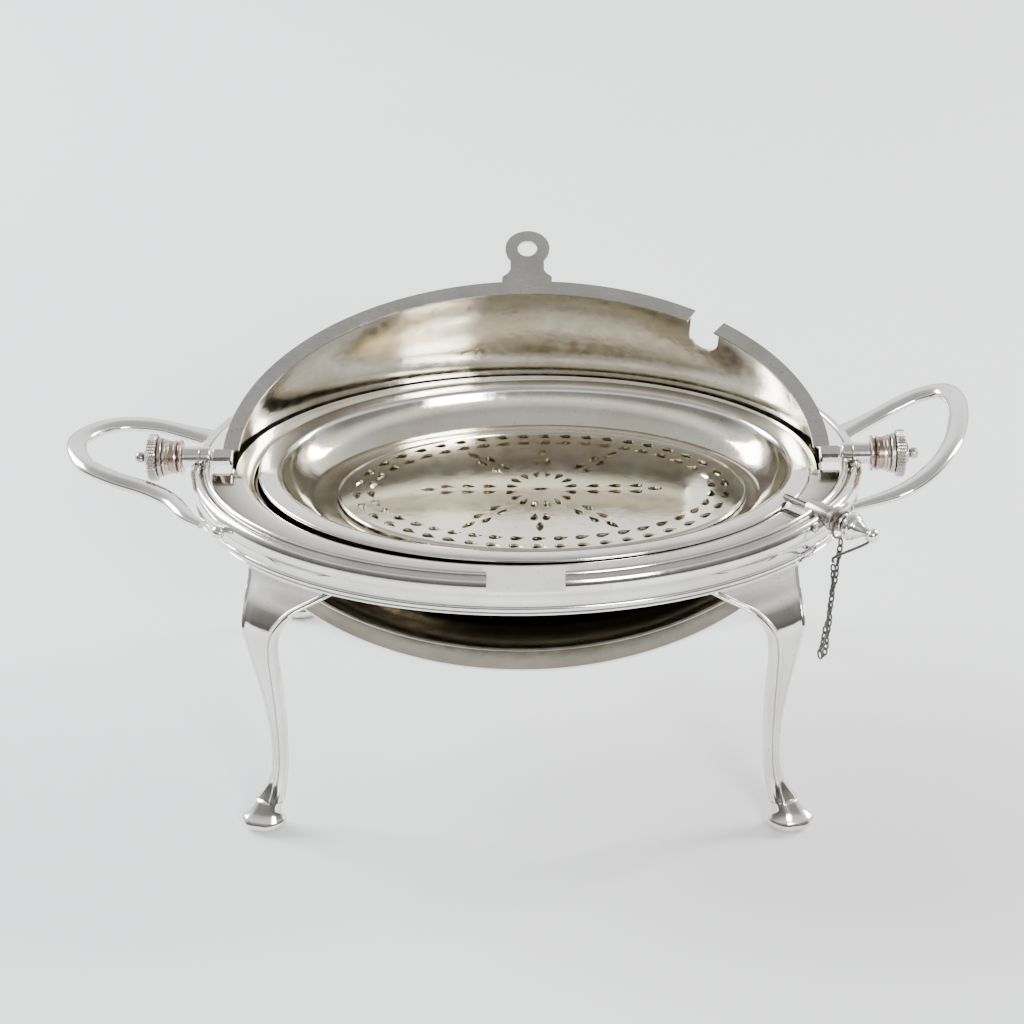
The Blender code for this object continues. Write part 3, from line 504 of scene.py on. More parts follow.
def subtract(item, bm):
    """Cut a solid out of a piece for good."""
    bmesh.ops.remove_doubles(bm, verts=bm.verts, dist=1e-7)
    bmesh.ops.recalc_face_normals(bm, faces=bm.faces)
    mesh = bpy.data.meshes.new("tool")
    bm.to_mesh(mesh)
    bm.free()
    tool = bpy.data.objects.new("tool", mesh)
    bpy.context.scene.collection.objects.link(tool)
    step = item.modifiers.new("cut", "BOOLEAN")
    step.operation = "DIFFERENCE"
    step.object = tool
    step.solver = "EXACT"
    settle(item)
    bpy.data.objects.remove(tool)


def settle(item):
    """Apply the piece's modifiers to its mesh."""
    bpy.context.view_layer.update()
    solid = item.evaluated_get(bpy.context.evaluated_depsgraph_get())
    old = item.data
    item.data = bpy.data.meshes.new_from_object(solid)
    item.modifiers.clear()
    bpy.data.meshes.remove(old)


def paint(item, material, chosen):
    """Give the chosen faces a second material."""
    item.data.materials.append(material)
    for face in item.data.polygons:
        if chosen(face):
            face.material_index = len(item.data.materials) - 1


# --------------------------------------------------------- frame and its well
def moulding():
    """The raised double moulding and reeded apron: share across, height."""
    return [(0.00, 0.0000), (0.02, 0.0016), (0.05, 0.0033), (0.1, 0.0046), (0.17, 0.0055), (0.24, 0.0058),
            (0.31, 0.0055), (0.37, 0.0047), (0.41, 0.0037), (0.44, 0.003), (0.48, 0.003), (0.52, 0.0038),
            (0.58, 0.0044), (0.66, 0.0047), (0.75, 0.0045), (0.84, 0.0038), (0.92, 0.0026),
            (0.98, 0.0012),
            (1.00, -0.0002), (0.98, -0.0014), (0.92, -0.0022), (0.85, -0.0034), (0.8, -0.0052),
            (0.77, -0.007), (0.77, -0.0079), (0.84, -0.0083), (0.88, -0.009), (0.88, -0.0098),
            (0.83, -0.0104), (0.8, -0.0107), (0.84, -0.011), (0.84, -0.0117), (0.78, -0.012),
            (0.62, -0.012), (0.62, -0.002)]


def frame_rim():
    """The stamped rim in full detail."""
    under = FLAT_Z - SHEET - 0.0006
    section = [(*THROAT_FOOT, FLAT_Z - THROAT_DEPTH)]
    for k in range(11):
        turn = math.pi / 2 * (1 - k / 10)
        off = (THROAT[0] - THROAT_FOOT[0]) * math.sin(turn)
        section.append((THROAT[0] - off, THROAT[1] - off, FLAT_Z - 0.0064 * (1 - math.cos(turn))))
    section.append((THROAT[0] + 0.0004, THROAT[1] + 0.0004, FLAT_Z))
    for share, rise in moulding():
        x = MOULD_FOOT[0] + (MOULD_OUT[0] - MOULD_FOOT[0]) * share
        y = MOULD_FOOT[1] + (MOULD_OUT[1] - MOULD_FOOT[1]) * share
        back = RAIL_IN[1] - 0.004 + (RAIL_OUT - RAIL_IN[1] + 0.004) * share
        section.append((x, y, FLAT_Z + rise, back))
    section += [(THROAT[0] - 0.002, THROAT[1] - 0.002, under - 0.0012),
            (THROAT_FOOT[0] + 0.0014, THROAT_FOOT[1] + 0.0014, FLAT_Z - THROAT_DEPTH)]
    item = piece("rim", oval_ring(section, 192), PLATE, "chafer_base", "silver_plate", "frame_rim")
    subtract(item, slot_solid())
    subtract(item, break_solid())
    for side in (-1, 1):
        subtract(item, turned([(0.0, SPINDLE_R + 0.0004), (0.02, SPINDLE_R + 0.0004)], 48,
                (side * 0.1322, 0, AXIS_Z), (side, 0, 0)))
    subtract(item, turned([(0.0, COLLAR_R + GAP), (0.016, COLLAR_R + GAP)], 48, pin_at(0.013), PIN_WAY))
    item.data.shade_smooth()
    item.data.set_sharp_from_angle(angle=math.radians(34))
    paint(item, THROAT_TONE, in_throat)


def in_throat(face):
    """True on the roll of the well's mouth."""
    x, y, z = face.center
    return (x / (THROAT[0] + 0.0006)) ** 2 + (y / (THROAT[1] + 0.0006)) ** 2 < 1 and face.normal.z > 0.02


def slot_solid():
    """The crescent that the lid rolls through."""
    rings = []
    steps = 120
    for k in range(-1, steps + 2):
        turn = math.pi * min(max(k, 0), steps) / steps
        y = SLOT_FRONT if k < 0 or k > steps else None
        a = (INNER_RING[0] * math.cos(turn), INNER_RING[1] * math.sin(turn) if y is None else y)
        b = (RAIL_IN[0] * math.cos(turn), RAIL_IN[1] * math.sin(turn) if y is None else y)
        rings.append([(*a, 0.105), (*b, 0.105), (*b, 0.15), (*a, 0.15)])
    return loft(rings)


def break_solid():
    """The break in the front moulding."""
    bm = bmesh.new()
    bmesh.ops.create_cube(bm, size=1.0)
    bmesh.ops.scale(bm, vec=(TAB_GAP * 2, 0.03, 0.02), verts=bm.verts)
    bmesh.ops.translate(bm, vec=(TAB_GAP_X, -MOULD_OUT[1], FLAT_Z + 0.01), verts=bm.verts)
    return bm


def bowl_profile(points, count):
    """Round a bowl's profile off, rim first."""
    path = smooth([(x, y, z) for x, y, z in points], count)
    return [(p.x, p.y, p.z) for p in path]


def dishes():
    """Hot water pan, liner, and the fine pierced drainer."""
    top = FLAT_Z - THROAT_DEPTH - GAP
    floor = FLAT_Z - PAN_DEPTH
    foot_x, foot_y = THROAT_FOOT
    outer, inner = [(foot_x + 0.0012, foot_y + 0.0012, top)], [(foot_x, foot_y, top)]
    for k in range(1, 15):
        turn = math.pi / 2 * k / 14
        x = PAN_FLOOR[0] + (foot_x - PAN_FLOOR[0]) * math.cos(turn) ** 0.8
        y = PAN_FLOOR[1] + (foot_y - PAN_FLOOR[1]) * math.cos(turn) ** 0.8
        z = top + (floor - top) * math.sin(turn)
        outer.append((x + SHEET * math.cos(turn), y + SHEET * math.cos(turn), z))
        inner.append((x, y, z + SHEET * math.sin(turn)))
    piece("pan", oval_bowl(outer, inner, 128), TINNED, "chafer_base", "tinned_copper", "water_pan")

    z = FLAT_Z + GAP
    bx, by = LINER_BOWL
    lx, ly = LINER_LEDGE
    fx, fy = LINER_FLOOR
    ledge, floor = FLAT_Z - DRAINER_DROP, FLAT_Z - LINER_DEPTH
    upper = [(*LINER, z + 0.0003), (LINER[0] - 0.0003, LINER[1] - 0.0003, z + 0.0009),
            (LINER[0] - 0.0009, LINER[1] - 0.0009, z + SHEET), (bx + 0.0022, by + 0.0022, z + SHEET),
            (bx + 0.001, by + 0.001, z + 0.001), (bx, by, z + 0.0004)]
    upper += bowl_profile([(bx, by, z + 0.0004), (bx - 0.0022, by - 0.0022, z - 0.004),
            (bx - 0.0062, by - 0.0062, z - 0.0088),
            (lx + 0.002, ly + 0.002, ledge + 0.0006),
            (lx - 0.001, ly - 0.001, ledge)], 16)[1:]
    upper += [(lx - 0.0115, ly - 0.0115, ledge - 0.0004)]
    upper += bowl_profile([(lx - 0.0125, ly - 0.0125, ledge - 0.001),
            (fx + 0.005, fy + 0.005, floor + 0.0038),
            (fx, fy, floor + SHEET)], 8)
    lower = [(x + 0.0008, y + 0.0008, zz - SHEET) for x, y, zz in upper[5:]]
    lower[0] = (bx + 0.0012, by + 0.0012, z - 0.0002)
    lower = [(*LINER, z), (bx + 0.003, by + 0.003, z)] + lower
    item = piece("liner", oval_bowl(lower, upper, 192, LINER_SHIFT), LINER_TONE, "chafer_base",
            "silver_plate",
            "liner_dish")
    paint(item, GILT, lambda face: face.center.z < FLAT_Z - 0.002 and face.normal.z > 0.05)
    drainer()


def comma(x, y, angle, length, width, curl):
    """A round-headed comma whose tail bends to one side."""
    c, s = math.cos(angle), math.sin(angle)
    out = []
    for k in range(20):
        turn = 2 * math.pi * k / 20
        u = math.cos(turn)
        v = math.sin(turn) * math.sin(turn / 2) ** 1.6 * 1.28 + curl * max(0.0, u) ** 2
        out.append((x + u * length / 2 * c - v * width / 2 * s,
                y + u * length / 2 * s + v * width / 2 * c))
    return out


def almond(x, y, angle, length, width):
    """A hole pointed at both ends."""
    c, s = math.cos(angle), math.sin(angle)
    out = []
    for k in range(16):
        u = -1 + k / 4 if k < 8 else 1 - (k - 8) / 4
        v = (1 - u * u) * (-1 if k < 8 else 1)
        out.append((x + u * length / 2 * c - v * width / 2 * s,
                y + u * length / 2 * s + v * width / 2 * c))
    return out


def comma_rows():
    """Pairs of commas that chase each other round the border."""
    holes = []
    fine = 720
    half_x, half_y = DRAINER[0] * 0.87, DRAINER[1] * 0.87
    lengths = [0.0]
    for k in range(fine):
        t = 2 * math.pi * (k + 0.5) / fine
        lengths.append(lengths[-1] + math.hypot(half_x * math.sin(t), half_y * math.cos(t)))
    for n in range(COMMA_PAIRS):
        want = lengths[-1] * (n + 0.5) / COMMA_PAIRS
        k = min(range(fine), key=lambda i: abs(lengths[i] - want))
        t = 2 * math.pi * k / fine
        way = math.atan2(half_y * math.cos(t), -half_x * math.sin(t))
        across = Vector((math.sin(way), -math.cos(way)))
        for out in (-1, 1):
            x = half_x * math.cos(t) + across.x * out * 0.003
            y = half_y * math.sin(t) + across.y * out * 0.003
            holes.append(comma(x, y, way, 0.0066, 0.0041, -out * 0.5))
    return holes


def star():
    """The middle rosette and its eight sprays."""
    holes = [almond(0, 0, 0, 0.0085, 0.0026)]
    for k in range(16):
        turn = 2 * math.pi * (k + 0.5) / 16
        x, y = 0.0128 * math.cos(turn), 0.0128 * math.sin(turn)
        holes.append(comma(x, y, turn + math.pi, 0.006, 0.0035, 0.0))
    for k in range(8):
        turn = math.pi * k / 4
        start, pairs = ((0.022, 3), (0.025, 2), (0.0235, 1), (0.025, 2))[k % 4]
        for n in range(pairs):
            at = start + n * 0.0092
            for side in (-1, 1):
                x = at * math.cos(turn) - side * 0.0026 * math.sin(turn)
                y = at * math.sin(turn) + side * 0.0026 * math.cos(turn)
                holes.append(comma(x, y, turn + math.pi, 0.0066, 0.0038, side * 0.4))
        end = start + pairs * 0.0092 - 0.0008
        holes.append(almond(end * math.cos(turn), end * math.sin(turn), turn, 0.0082, 0.0032))
    return holes


def drainer():
    """The pierced plate and its thin raised edge."""
    outline = [oval_point(*DRAINER, 2 * math.pi * k / 200) for k in range(200)]
    bm = flat_plate(outline, comma_rows() + star(), DRAINER_THICK)
    z = FLAT_Z - DRAINER_DROP + GAP
    bmesh.ops.translate(bm, vec=(DRAINER_SHIFT, 0, z + DRAINER_THICK / 2), verts=bm.verts)
    piece("drainer", bm, GILT, "chafer_base", "silver_plate", "drainer_plate", angle=30)
    section = []
    for k in range(8):
        turn = 2 * math.pi * k / 8
        off = 0.0006 * math.cos(turn)
        section.append((DRAINER[0] - 0.0007 + off, DRAINER[1] - 0.0007 + off,
                z + DRAINER_THICK + 0.0005 * math.sin(turn)))
    piece("drainer_edge", oval_ring(section, 200, DRAINER_SHIFT), PLATE, "chafer_base", "silver_plate")


# ------------------------------------------------------------------- the lid
def lid_dome():
    """The revolving half dome, with a warm inside."""
    across, around = 120, 72
    begin = math.asin(HUB_RADIUS / DOME[1])
    skins = []
    for inset in (0.0, DOME_THICK):
        rows = []
        for i in range(across + 1):
            t = begin + (math.pi - 2 * begin) * i / across
            radius = DOME[1] * math.sin(t)
            low = math.asin((FLANGE_THICK + GAP) / radius)
            spare = math.radians(30) * max(0.0, 1 - radius / 0.02)
            high = min(DOME_END, 2 * math.pi - LID_FULL - spare - math.asin(min(1, FRAME_PASS / radius)))
            row = []
            for j in range(around + 1):
                turn = low + (high - low) * j / around
                swell = max(0.0, (turn - FLARE_START) / (DOME_END - FLARE_START))
                here = radius + FLARE * swell * swell * math.sin(t)
                row.append(lid_point((DOME[0] - inset) * math.cos(t), here - inset * math.sin(t), turn))
            rows.append(row)
        skins.append(rows)
    bm = bmesh.new()
    verts = [[[bm.verts.new(p) for p in row] for row in rows] for rows in skins]
    for rows in verts:
        for one, two in zip(rows, rows[1:]):
            for j in range(around):
                bm.faces.new((one[j], one[j + 1], two[j + 1], two[j]))
    out, inside = verts
    for i in range(across):
        for j in (0, around):
            bm.faces.new((out[i][j], out[i + 1][j], inside[i + 1][j], inside[i][j]))
    for j in range(around):
        for i in (0, across):
            bm.faces.new((out[i][j], out[i][j + 1], inside[i][j + 1], inside[i][j]))
    item = piece("dome", bm, PLATE, "rolling_lid", "silver_plate", "lid_dome")
    subtract(item, notch_solid())
    item.data.shade_smooth()
    item.data.set_sharp_from_angle(angle=math.radians(40))
    paint(item, GILT, faces_in)


def faces_in(face):
    """True on the dome's inner skin."""
    from_axis = Vector((face.center.x * 0.5, face.center.y, face.center.z - AXIS_Z))
    return from_axis.dot(face.normal) < 0


def notch_solid():
    """The round-ended slot behind the spoon notch."""
    t = math.acos(NOTCH_X / FLANGE_OUT[0])
    y = -FLANGE_OUT[1] * math.sin(t)
    out = Vector((NOTCH_X / FLANGE_OUT[0] ** 2, y / FLANGE_OUT[1] ** 2, 0)).normalized()
    along = Vector((-out.y, out.x, 0))
    outline = [(NOTCH_HALF, -0.002)]
    for k in range(25):
        turn = math.pi * k / 24
        outline.append((NOTCH_HALF * math.cos(turn),
                NOTCH_DEPTH - NOTCH_HALF + NOTCH_HALF * math.sin(turn)))
    outline.append((-NOTCH_HALF, -0.002))
    rings = []
    for reach in (-0.018, 0.012):
        rings.append([Vector((NOTCH_X, y, up)) + along * across + out * reach for across, up in outline])
    bm = loft(rings)
    bm.transform(lid_turn())
    return bm


def tab_outline():
    """The tab from right to left: shoulders, waist and round head."""
    foot_y = -FLANGE_OUT[1] * math.sqrt(1 - (TAB_FOOT / FLANGE_OUT[0]) ** 2)
    head_y = -FLANGE_OUT[1] - TAB_LENGTH + TAB_HEAD
    right = [(TAB_FOOT, foot_y), (TAB_FOOT, foot_y - 0.0026), (TAB_FOOT - 0.0004, foot_y - 0.0033)]
    right += [(TAB_NECK + 0.0016, foot_y - 0.0044), (TAB_NECK + 0.0006, foot_y - 0.0056),
            (TAB_NECK, foot_y - 0.0072)]
    for k in range(25):
        turn = math.radians(-40 + 130 * k / 24)
        right.append((TAB_HEAD * math.cos(turn), head_y - TAB_HEAD * math.sin(turn)))
    return right + [(-x, y) for x, y in right[-2::-1]]


def lid_flange():
    """The flat front edge and the tab, softly bevelled."""
    notch = math.acos(NOTCH_X / FLANGE_OUT[0])
    slope = math.hypot(FLANGE_OUT[0] * math.sin(notch), FLANGE_OUT[1] * math.cos(notch))
    span = NOTCH_HALF / slope
    out_end, in_end = flange_ends(FLANGE_OUT), flange_ends(FLANGE_IN)
    tab_turn = math.acos(TAB_FOOT / FLANGE_OUT[0])
    short = edge(FLANGE_OUT, out_end, notch - span, 60) + edge(FLANGE_IN, notch - span, in_end, 60)
    long = edge(FLANGE_OUT, notch + span, tab_turn, 50)[:-1] + tab_outline()
    long += edge(FLANGE_OUT, math.pi - tab_turn, math.pi - out_end, 100)[1:]
    long += edge(FLANGE_IN, math.pi - in_end, notch + span, 150)
    head_y = -FLANGE_OUT[1] - TAB_LENGTH + TAB_HEAD
    hole = []
    for k in range(48):
        turn = 2 * math.pi * k / 48
        hole.append((TAB_HOLE * math.cos(turn), head_y + TAB_HOLE * math.sin(turn)))
    for name, outline, holes, node in (("flange_right", short, [], "lid_flange_right"),
            ("flange_and_tab", long, [hole], "lid_flange_and_tab")):
        bm = flat_plate(outline, holes, FLANGE_THICK)
        bmesh.ops.translate(bm, vec=(0, 0, FLANGE_THICK / 2), verts=bm.verts)
        bm.transform(lid_turn())
        item = piece(name, bm, PLATE_FLAT, "rolling_lid", "silver_plate", node, angle=30)
        step = item.modifiers.new("soft", "BEVEL")
        step.width = 0.00025
        step.segments = 2
        step.limit_method = "ANGLE"
        step.angle_limit = math.radians(50)
        settle(item)


def lid_band():
    """The reeded moulding round the lid's back edge."""
    section = [(0.0, 0.0), (0.97, 0.0), (1.0, 0.0004)]
    for k in range(5):
        middle = 0.9 - 0.19 * k
        height = 0.001 + 0.00085 * k
        for j in range(6):
            turn = math.pi * j / 5
            section.append((middle + 0.088 * math.cos(turn), height + 0.00075 * math.sin(turn)))
    section += [(0.03, 0.0046), (0.0, 0.0046)]
    rings = []
    steps = 160
    for k in range(steps + 1):
        t = BAND_END + (math.pi - 2 * BAND_END) * k / steps
        ring = []
        for share, height in section:
            radius = (BAND_IN + (BAND_OUT - BAND_IN) * share) * math.sin(t)
            x = (DOME[0] + 0.0003 + 0.0022 * share) * math.cos(t)
            ring.append(lid_turn() @ Vector((x, radius, height)))
        rings.append(ring)
    item = piece("back_moulding", loft(rings), PLATE, "rolling_lid", "silver_plate", "lid_back_moulding",
            angle=50)
    paint(item, THROAT_TONE, lambda face: False)


def fittings():
    """Blocks, spindles, collars, knurled nuts and finials at both ends."""
    for side, name in ((-1, "left"), (1, "right")):
        way = (side, 0, 0)
        half_y, half_z = BLOCK_HALF
        c = 0.0012
        shape = [(half_y, half_z - c), (half_y - c, half_z), (c - half_y, half_z), (-half_y, half_z - c),
                (-half_y, c - half_z), (c - half_y, -half_z), (half_y - c, -half_z),
                (half_y, c - half_z)]
        rings = []
        for x, share in ((BLOCK_X[0], 0.8), (BLOCK_X[0] + 0.0006, 0.95), (BLOCK_X[0] + 0.0012, 1),
                (BLOCK_X[1] - 0.0012, 1), (BLOCK_X[1] - 0.0006, 0.95), (BLOCK_X[1], 0.8)):
            rings.append([lid_turn() @ Vector((side * x, y * share, z * share)) for y, z in shape])
        piece(f"end_block_{name}", loft(rings), PLATE, "rolling_lid", "silver_plate",
                f"lid_end_block_{name}",
              angle=25)
        at = BLOCK_X[1] + GAP
        rod = [(0, SPINDLE_R - 0.0008), (0.0004, SPINDLE_R - 0.0002), (0.0009, SPINDLE_R),
                (0.004, SPINDLE_R),
               (0.0043, SPINDLE_R - 0.0003), (0.0047, SPINDLE_R - 0.0003), (0.005, SPINDLE_R),
               (SPINDLE_END - at, SPINDLE_R)]
        piece(f"spindle_{name}", turned(rod, 64, (side * at, 0, AXIS_Z), way), PLATE, "rolling_lid",
              "worn_brass", f"lid_spindle_{name}")
        at = SPINDLE_END + GAP
        long = COLLAR_END - at
        rim = 0.0077
        body = [(0, rim - 0.0005), (0.0003, rim), (0.0009, rim), (0.0012, rim - 0.001),
                (0.002, rim - 0.0013),
                (0.0024, rim - 0.0004), (0.003, rim - 0.0002), (0.0034, rim - 0.0007),
                (0.0052, rim - 0.0007),
                (0.0056, rim - 0.0002), (long - 0.0016, rim - 0.0003), (long - 0.0012, rim + 0.0003),
                (long - 0.0003, rim + 0.0004), (long, rim)]
        piece(f"collar_{name}", turned(body, 72, (side * at, 0, AXIS_Z), way), COPPER, "chafer_base",
              "worn_brass", f"bearing_collar_{name}", angle=30)
        at = COLLAR_END + GAP
        piece(f"nut_{name}", knurled(side * at, side, NUT_END - at), FITTING, f"{name}_nut",
                "silver_plate",
              f"knurled_nut_{name}", angle=20)
        at = NUT_END + GAP
        ball = 0.0024
        end = TIP_END - at
        cap = [(0, 0.0046), (0.0004, 0.0047), (0.0009, 0.0046), (0.0013, 0.0041), (0.0016, 0.0034),
               (0.0018, 0.0024)]
        for k in range(12):
            turn = math.radians(42 + 12.4 * k)
            cap.append((end - ball - ball * math.cos(turn), max(ball * math.sin(turn), 0.0002)))
        piece(f"finial_tip_{name}", turned(cap, 56, (side * at, 0, AXIS_Z), way), FITTING, f"{name}_nut",
              "silver_plate", f"finial_{name}")


def knurled(start_x, side, long):
    """The nut: a smooth step and a ring cut with crossed grooves."""
    count = 96
    rings = []
    low = 0.0022
    profile = [(0, 0.0082, 0), (0.0003, 0.0085, 0), (0.0016, 0.0085, 0), (0.0019, 0.0081, 0),
            (low, NUT_R - 0.0006, 0)]
    rows = 8
    for k in range(rows + 1):
        profile.append((low + 0.0003 + (long - low - 0.0007) * k / rows, NUT_R, k + 1))
    profile.append((long, NUT_R - 0.0007, 0))
    for along, radius, row in profile:
        ring = []
        for k in range(count):
            turn = 2 * math.pi * k / count
            dip = 0.0005 * ((k + 2 * row) % 4 == 0 or (k - 2 * row) % 4 == 0) if row else 0
            here = radius - dip
            ring.append((start_x + side * along, here * math.cos(turn), AXIS_Z + here * math.sin(turn)))
        rings.append(ring)
    return loft(rings)


# -------------------------------------------------------------- pin and chain
def pin():
    """Bush, rod, knob, ring and hook."""
    low, high = COLLAR_SPAN
    r = COLLAR_R
    body = [(low, r - 0.0009), (low + 0.0004, r - 0.0003), (low + 0.0012, r), (0.0255, r),
            (0.026, r + 0.0006),
            (0.0264, r + 0.0012), (0.028, r + 0.0012), (0.0284, r + 0.0006), (0.0287, r - 0.0002),
            (GROOVE - 0.0013, r - 0.0002), (GROOVE - 0.0009, r - 0.001), (GROOVE + 0.0009, r - 0.001),
            (GROOVE + 0.0013, r), (high - 0.0003, r), (high, r - 0.0003)]
    piece("bush", tube_about(body, PIN_BORE, 64, pin_at(0), PIN_WAY), FITTING, "chafer_base",
            "worn_brass",
          "pin_bush", angle=30)
    rod = [(0, 0.0006), (0.0004, 0.0011), (0.0012, PIN_R), (PIN_LENGTH, PIN_R)]
    piece("rod", turned(rod, 40, pin_at(0), PIN_WAY), STEEL, "pin", "dark_steel", "pin_rod")
    at = PIN_LENGTH + GAP
    knob = [(0, 0.003), (0.0004, 0.0042), (0.001, 0.0049), (0.0018, 0.0056), (0.0022, 0.0059),
            (0.0032, 0.006),
            (0.004, 0.0059), (0.0043, 0.0055), (0.005, 0.0054), (0.0056, 0.005), (0.006, 0.0043),
            (0.0064, 0.004), (0.0076, 0.0034), (0.0088, 0.0025), (0.01, 0.0018), (0.0112, 0.0017),
            (0.0118, 0.0022), (0.0126, 0.0028), (0.0136, 0.0031), (0.0146, 0.0028), (0.0154, 0.0021),
            (0.016, 0.0009)]
    piece("knob", turned(knob, 64, pin_at(at), PIN_WAY), PLATE, "pin_handle", "silver_plate", "pin_knob",
          angle=30)
    ring_radius, wire = 0.0056, 0.0006
    middle = pin_at(GROOVE) + Vector((0, 0, COLLAR_R - 0.001 + GAP + wire - ring_radius))
    piece("groove_ring", ring_of_wire(middle, PIN_WAY, ring_radius, wire), STEEL, "chafer_base",
            "dark_steel",
          "chain_ring")
    tie = pin_at(at + 0.0103)
    last = Vector(CHAIN_ROUTE[-1])
    hook = [tie + Vector((0, 0, -0.0024)), tie + Vector((0.0004, -0.0002, -0.0048)),
            last + Vector((0.0006, 0.0, 0.004)), last + Vector((0, 0, 0.0014))]
    piece("hook", sweep(smooth(hook, 40), lambda s: (0.0006, 0.0006), Vector((0, 0, 1)), 12), STEEL,
            "pin",
          "dark_steel", "chain_hook")


def links():
    """A trace chain: oval links, each turned a quarter from the last."""
    route = smooth(CHAIN_ROUTE, 200)
    total = sum((b - a).length for a, b in zip(route, route[1:]))
    count = round(total / 0.003)
    centres = smooth(CHAIN_ROUTE, 2 * count + 1)
    bm = bmesh.new()
    reference = Vector((0.8, 0.6, 0))
    for n in range(count):
        middle = centres[2 * n + 1]
        ahead = (centres[2 * n + 2] - centres[2 * n]).normalized()
        side = reference.cross(ahead).normalized()
        other = ahead.cross(side)
        turn = math.radians(90 * (n % 2) + 24 * math.sin(n * 1.7))
        wide = side * math.cos(turn) + other * math.sin(turn)
        flat = ahead.cross(wide)
        add_link(bm, middle, ahead, wide, flat)
    item = piece("chain_links", bm, STEEL, "chafer_base", "dark_steel", "safety_chain")


def add_link(bm, middle, ahead, wide, flat):
    """One oval wire link."""
    wire, half_long, half_wide = 0.0004, 0.0019, 0.00095
    rings = []
    for k in range(20):
        turn = 2 * math.pi * k / 20
        c, s = math.cos(turn), math.sin(turn)
        place = middle + ahead * half_long * c + wide * half_wide * s
        out = (ahead * c * half_wide + wide * s * half_long).normalized()
        row = []
        for j in range(8):
            around = 2 * math.pi * j / 8
            row.append(bm.verts.new(place + out * wire * math.cos(around) + flat * wire * math.sin(around)))
        rings.append(row)
    for one, two in zip(rings, rings[1:] + rings[:1]):
        for j in range(8):
            i = (j + 1) % 8
            bm.faces.new((one[j], one[i], two[i], two[j]))


# ---------------------------------------------------------- handles and legs
def handles():
    """The flattened loops and the small beads at their front roots."""
    shapes = HANDLE_SHAPES
    for side, name in ((-1, "left"), (1, "right")):
        lean = math.tan(HANDLE_TILT[name])
        points = [(side * x, y, 0.1284 + (x - 0.14) * lean) for x, y in shapes[name]]
        points[0] = (points[0][0] - side * 0.004, points[0][1] - 0.001, points[0][2])
        points[-1] = (points[-1][0] - side * 0.004, points[-1][1] - 0.0012, points[-1][2])
        path = smooth(points, 110)
        flat_way = Vector((-side * lean, 0, 1)).normalized()
        piece(f"loop_{name}", sweep(path, handle_section, flat_way, 28), PLATE, "chafer_base",
                "silver_plate",
              f"handle_{name}")
        y = -0.044 if side > 0 else -0.054
        x = MOULD_OUT[0] * math.sqrt(1 - (y / MOULD_OUT[1]) ** 2) + 0.0034
        profile = []
        for k in range(13):
            turn = math.pi * (k + 0.4) / 12.8
            profile.append((-0.0036 * math.cos(turn), 0.0028 * math.sin(turn)))
        piece(f"bead_{name}", turned(profile, 40, (side * x, y, FLAT_Z), (side * 0.62, 1, 0)), PLATE,
              "chafer_base", "silver_plate", f"handle_bead_{name}")


def leg_section(side, end, level):
    """A level section of a leg: a hollow panel, two reeds inside it, one bead outside."""
    z, lean, half_w, half_t = level
    point, out, along = leg_frame(side, end)
    inward = Vector((-side * 0.62, -end * 0.785, 0))
    toward = 1 if along.x * side < 0 else -1
    fit = min(1.0, half_w / 0.0036)
    edge_in = [0.0003 * k * fit for k in range(17)]
    edge_out = [2 * half_w - 0.0003 * k * fit for k in range(7, -1, -1)]
    room = edge_out[0] - edge_in[-1]
    marks = edge_in + [edge_in[-1] + room * k / 8 for k in range(1, 8)] + edge_out
    ring = []
    for face in (1, -1):
        for from_inner in (marks if face == 1 else marks[::-1]):
            s = 1 - from_inner / half_w
            thick = half_t * (1 - 0.45 * abs(s) ** 3)
            if face == 1:
                bead = sum(math.exp(-((from_inner / fit - at) / 0.00055) ** 2)
                        for at in (0.0011, 0.003, 2 * half_w / fit - 0.0009))
                thick += 0.0009 * fit * bead - 0.0006 * fit * max(0.0, 1 - s * s)
            bend = inward * (s * half_w) ** 2 * 4.2
            ring.append(point + out * lean + along * (s * toward * half_w) + bend - inward * face * thick
                    + Vector((0, 0, z)))
    return ring


def legs():
    """Four reeded cabriole legs on scroll feet."""
    columns = leg_levels()
    path = smooth([(z, lean, half_w) for z, lean, half_w, _ in columns], 60)
    thin = smooth([(z, half_t, 0) for z, _, _, half_t in columns], 60)
    levels = []
    for p in path:
        near = min(thin, key=lambda q: abs(q.x - p.x))
        levels.append((p.x, p.y, p.z, near.y))
    for end, where in ((-1, "front"), (1, "back")):
        for side, name in ((-1, "left"), (1, "right")):
            rings = [leg_section(side, end, level) for level in levels]
            piece(f"cabriole_{where}_{name}", loft(rings), PLATE, "chafer_base", "silver_plate",
                  f"leg_{where}_{name}", angle=60)
            point, out, along = leg_frame(side, end)
            middle = point + out * 0.019 + along * 0.0005
            piece(f"toe_{where}_{name}", toes(middle, out, along), PLATE, "chafer_base", "silver_plate",
                  f"foot_{where}_{name}", angle=60)


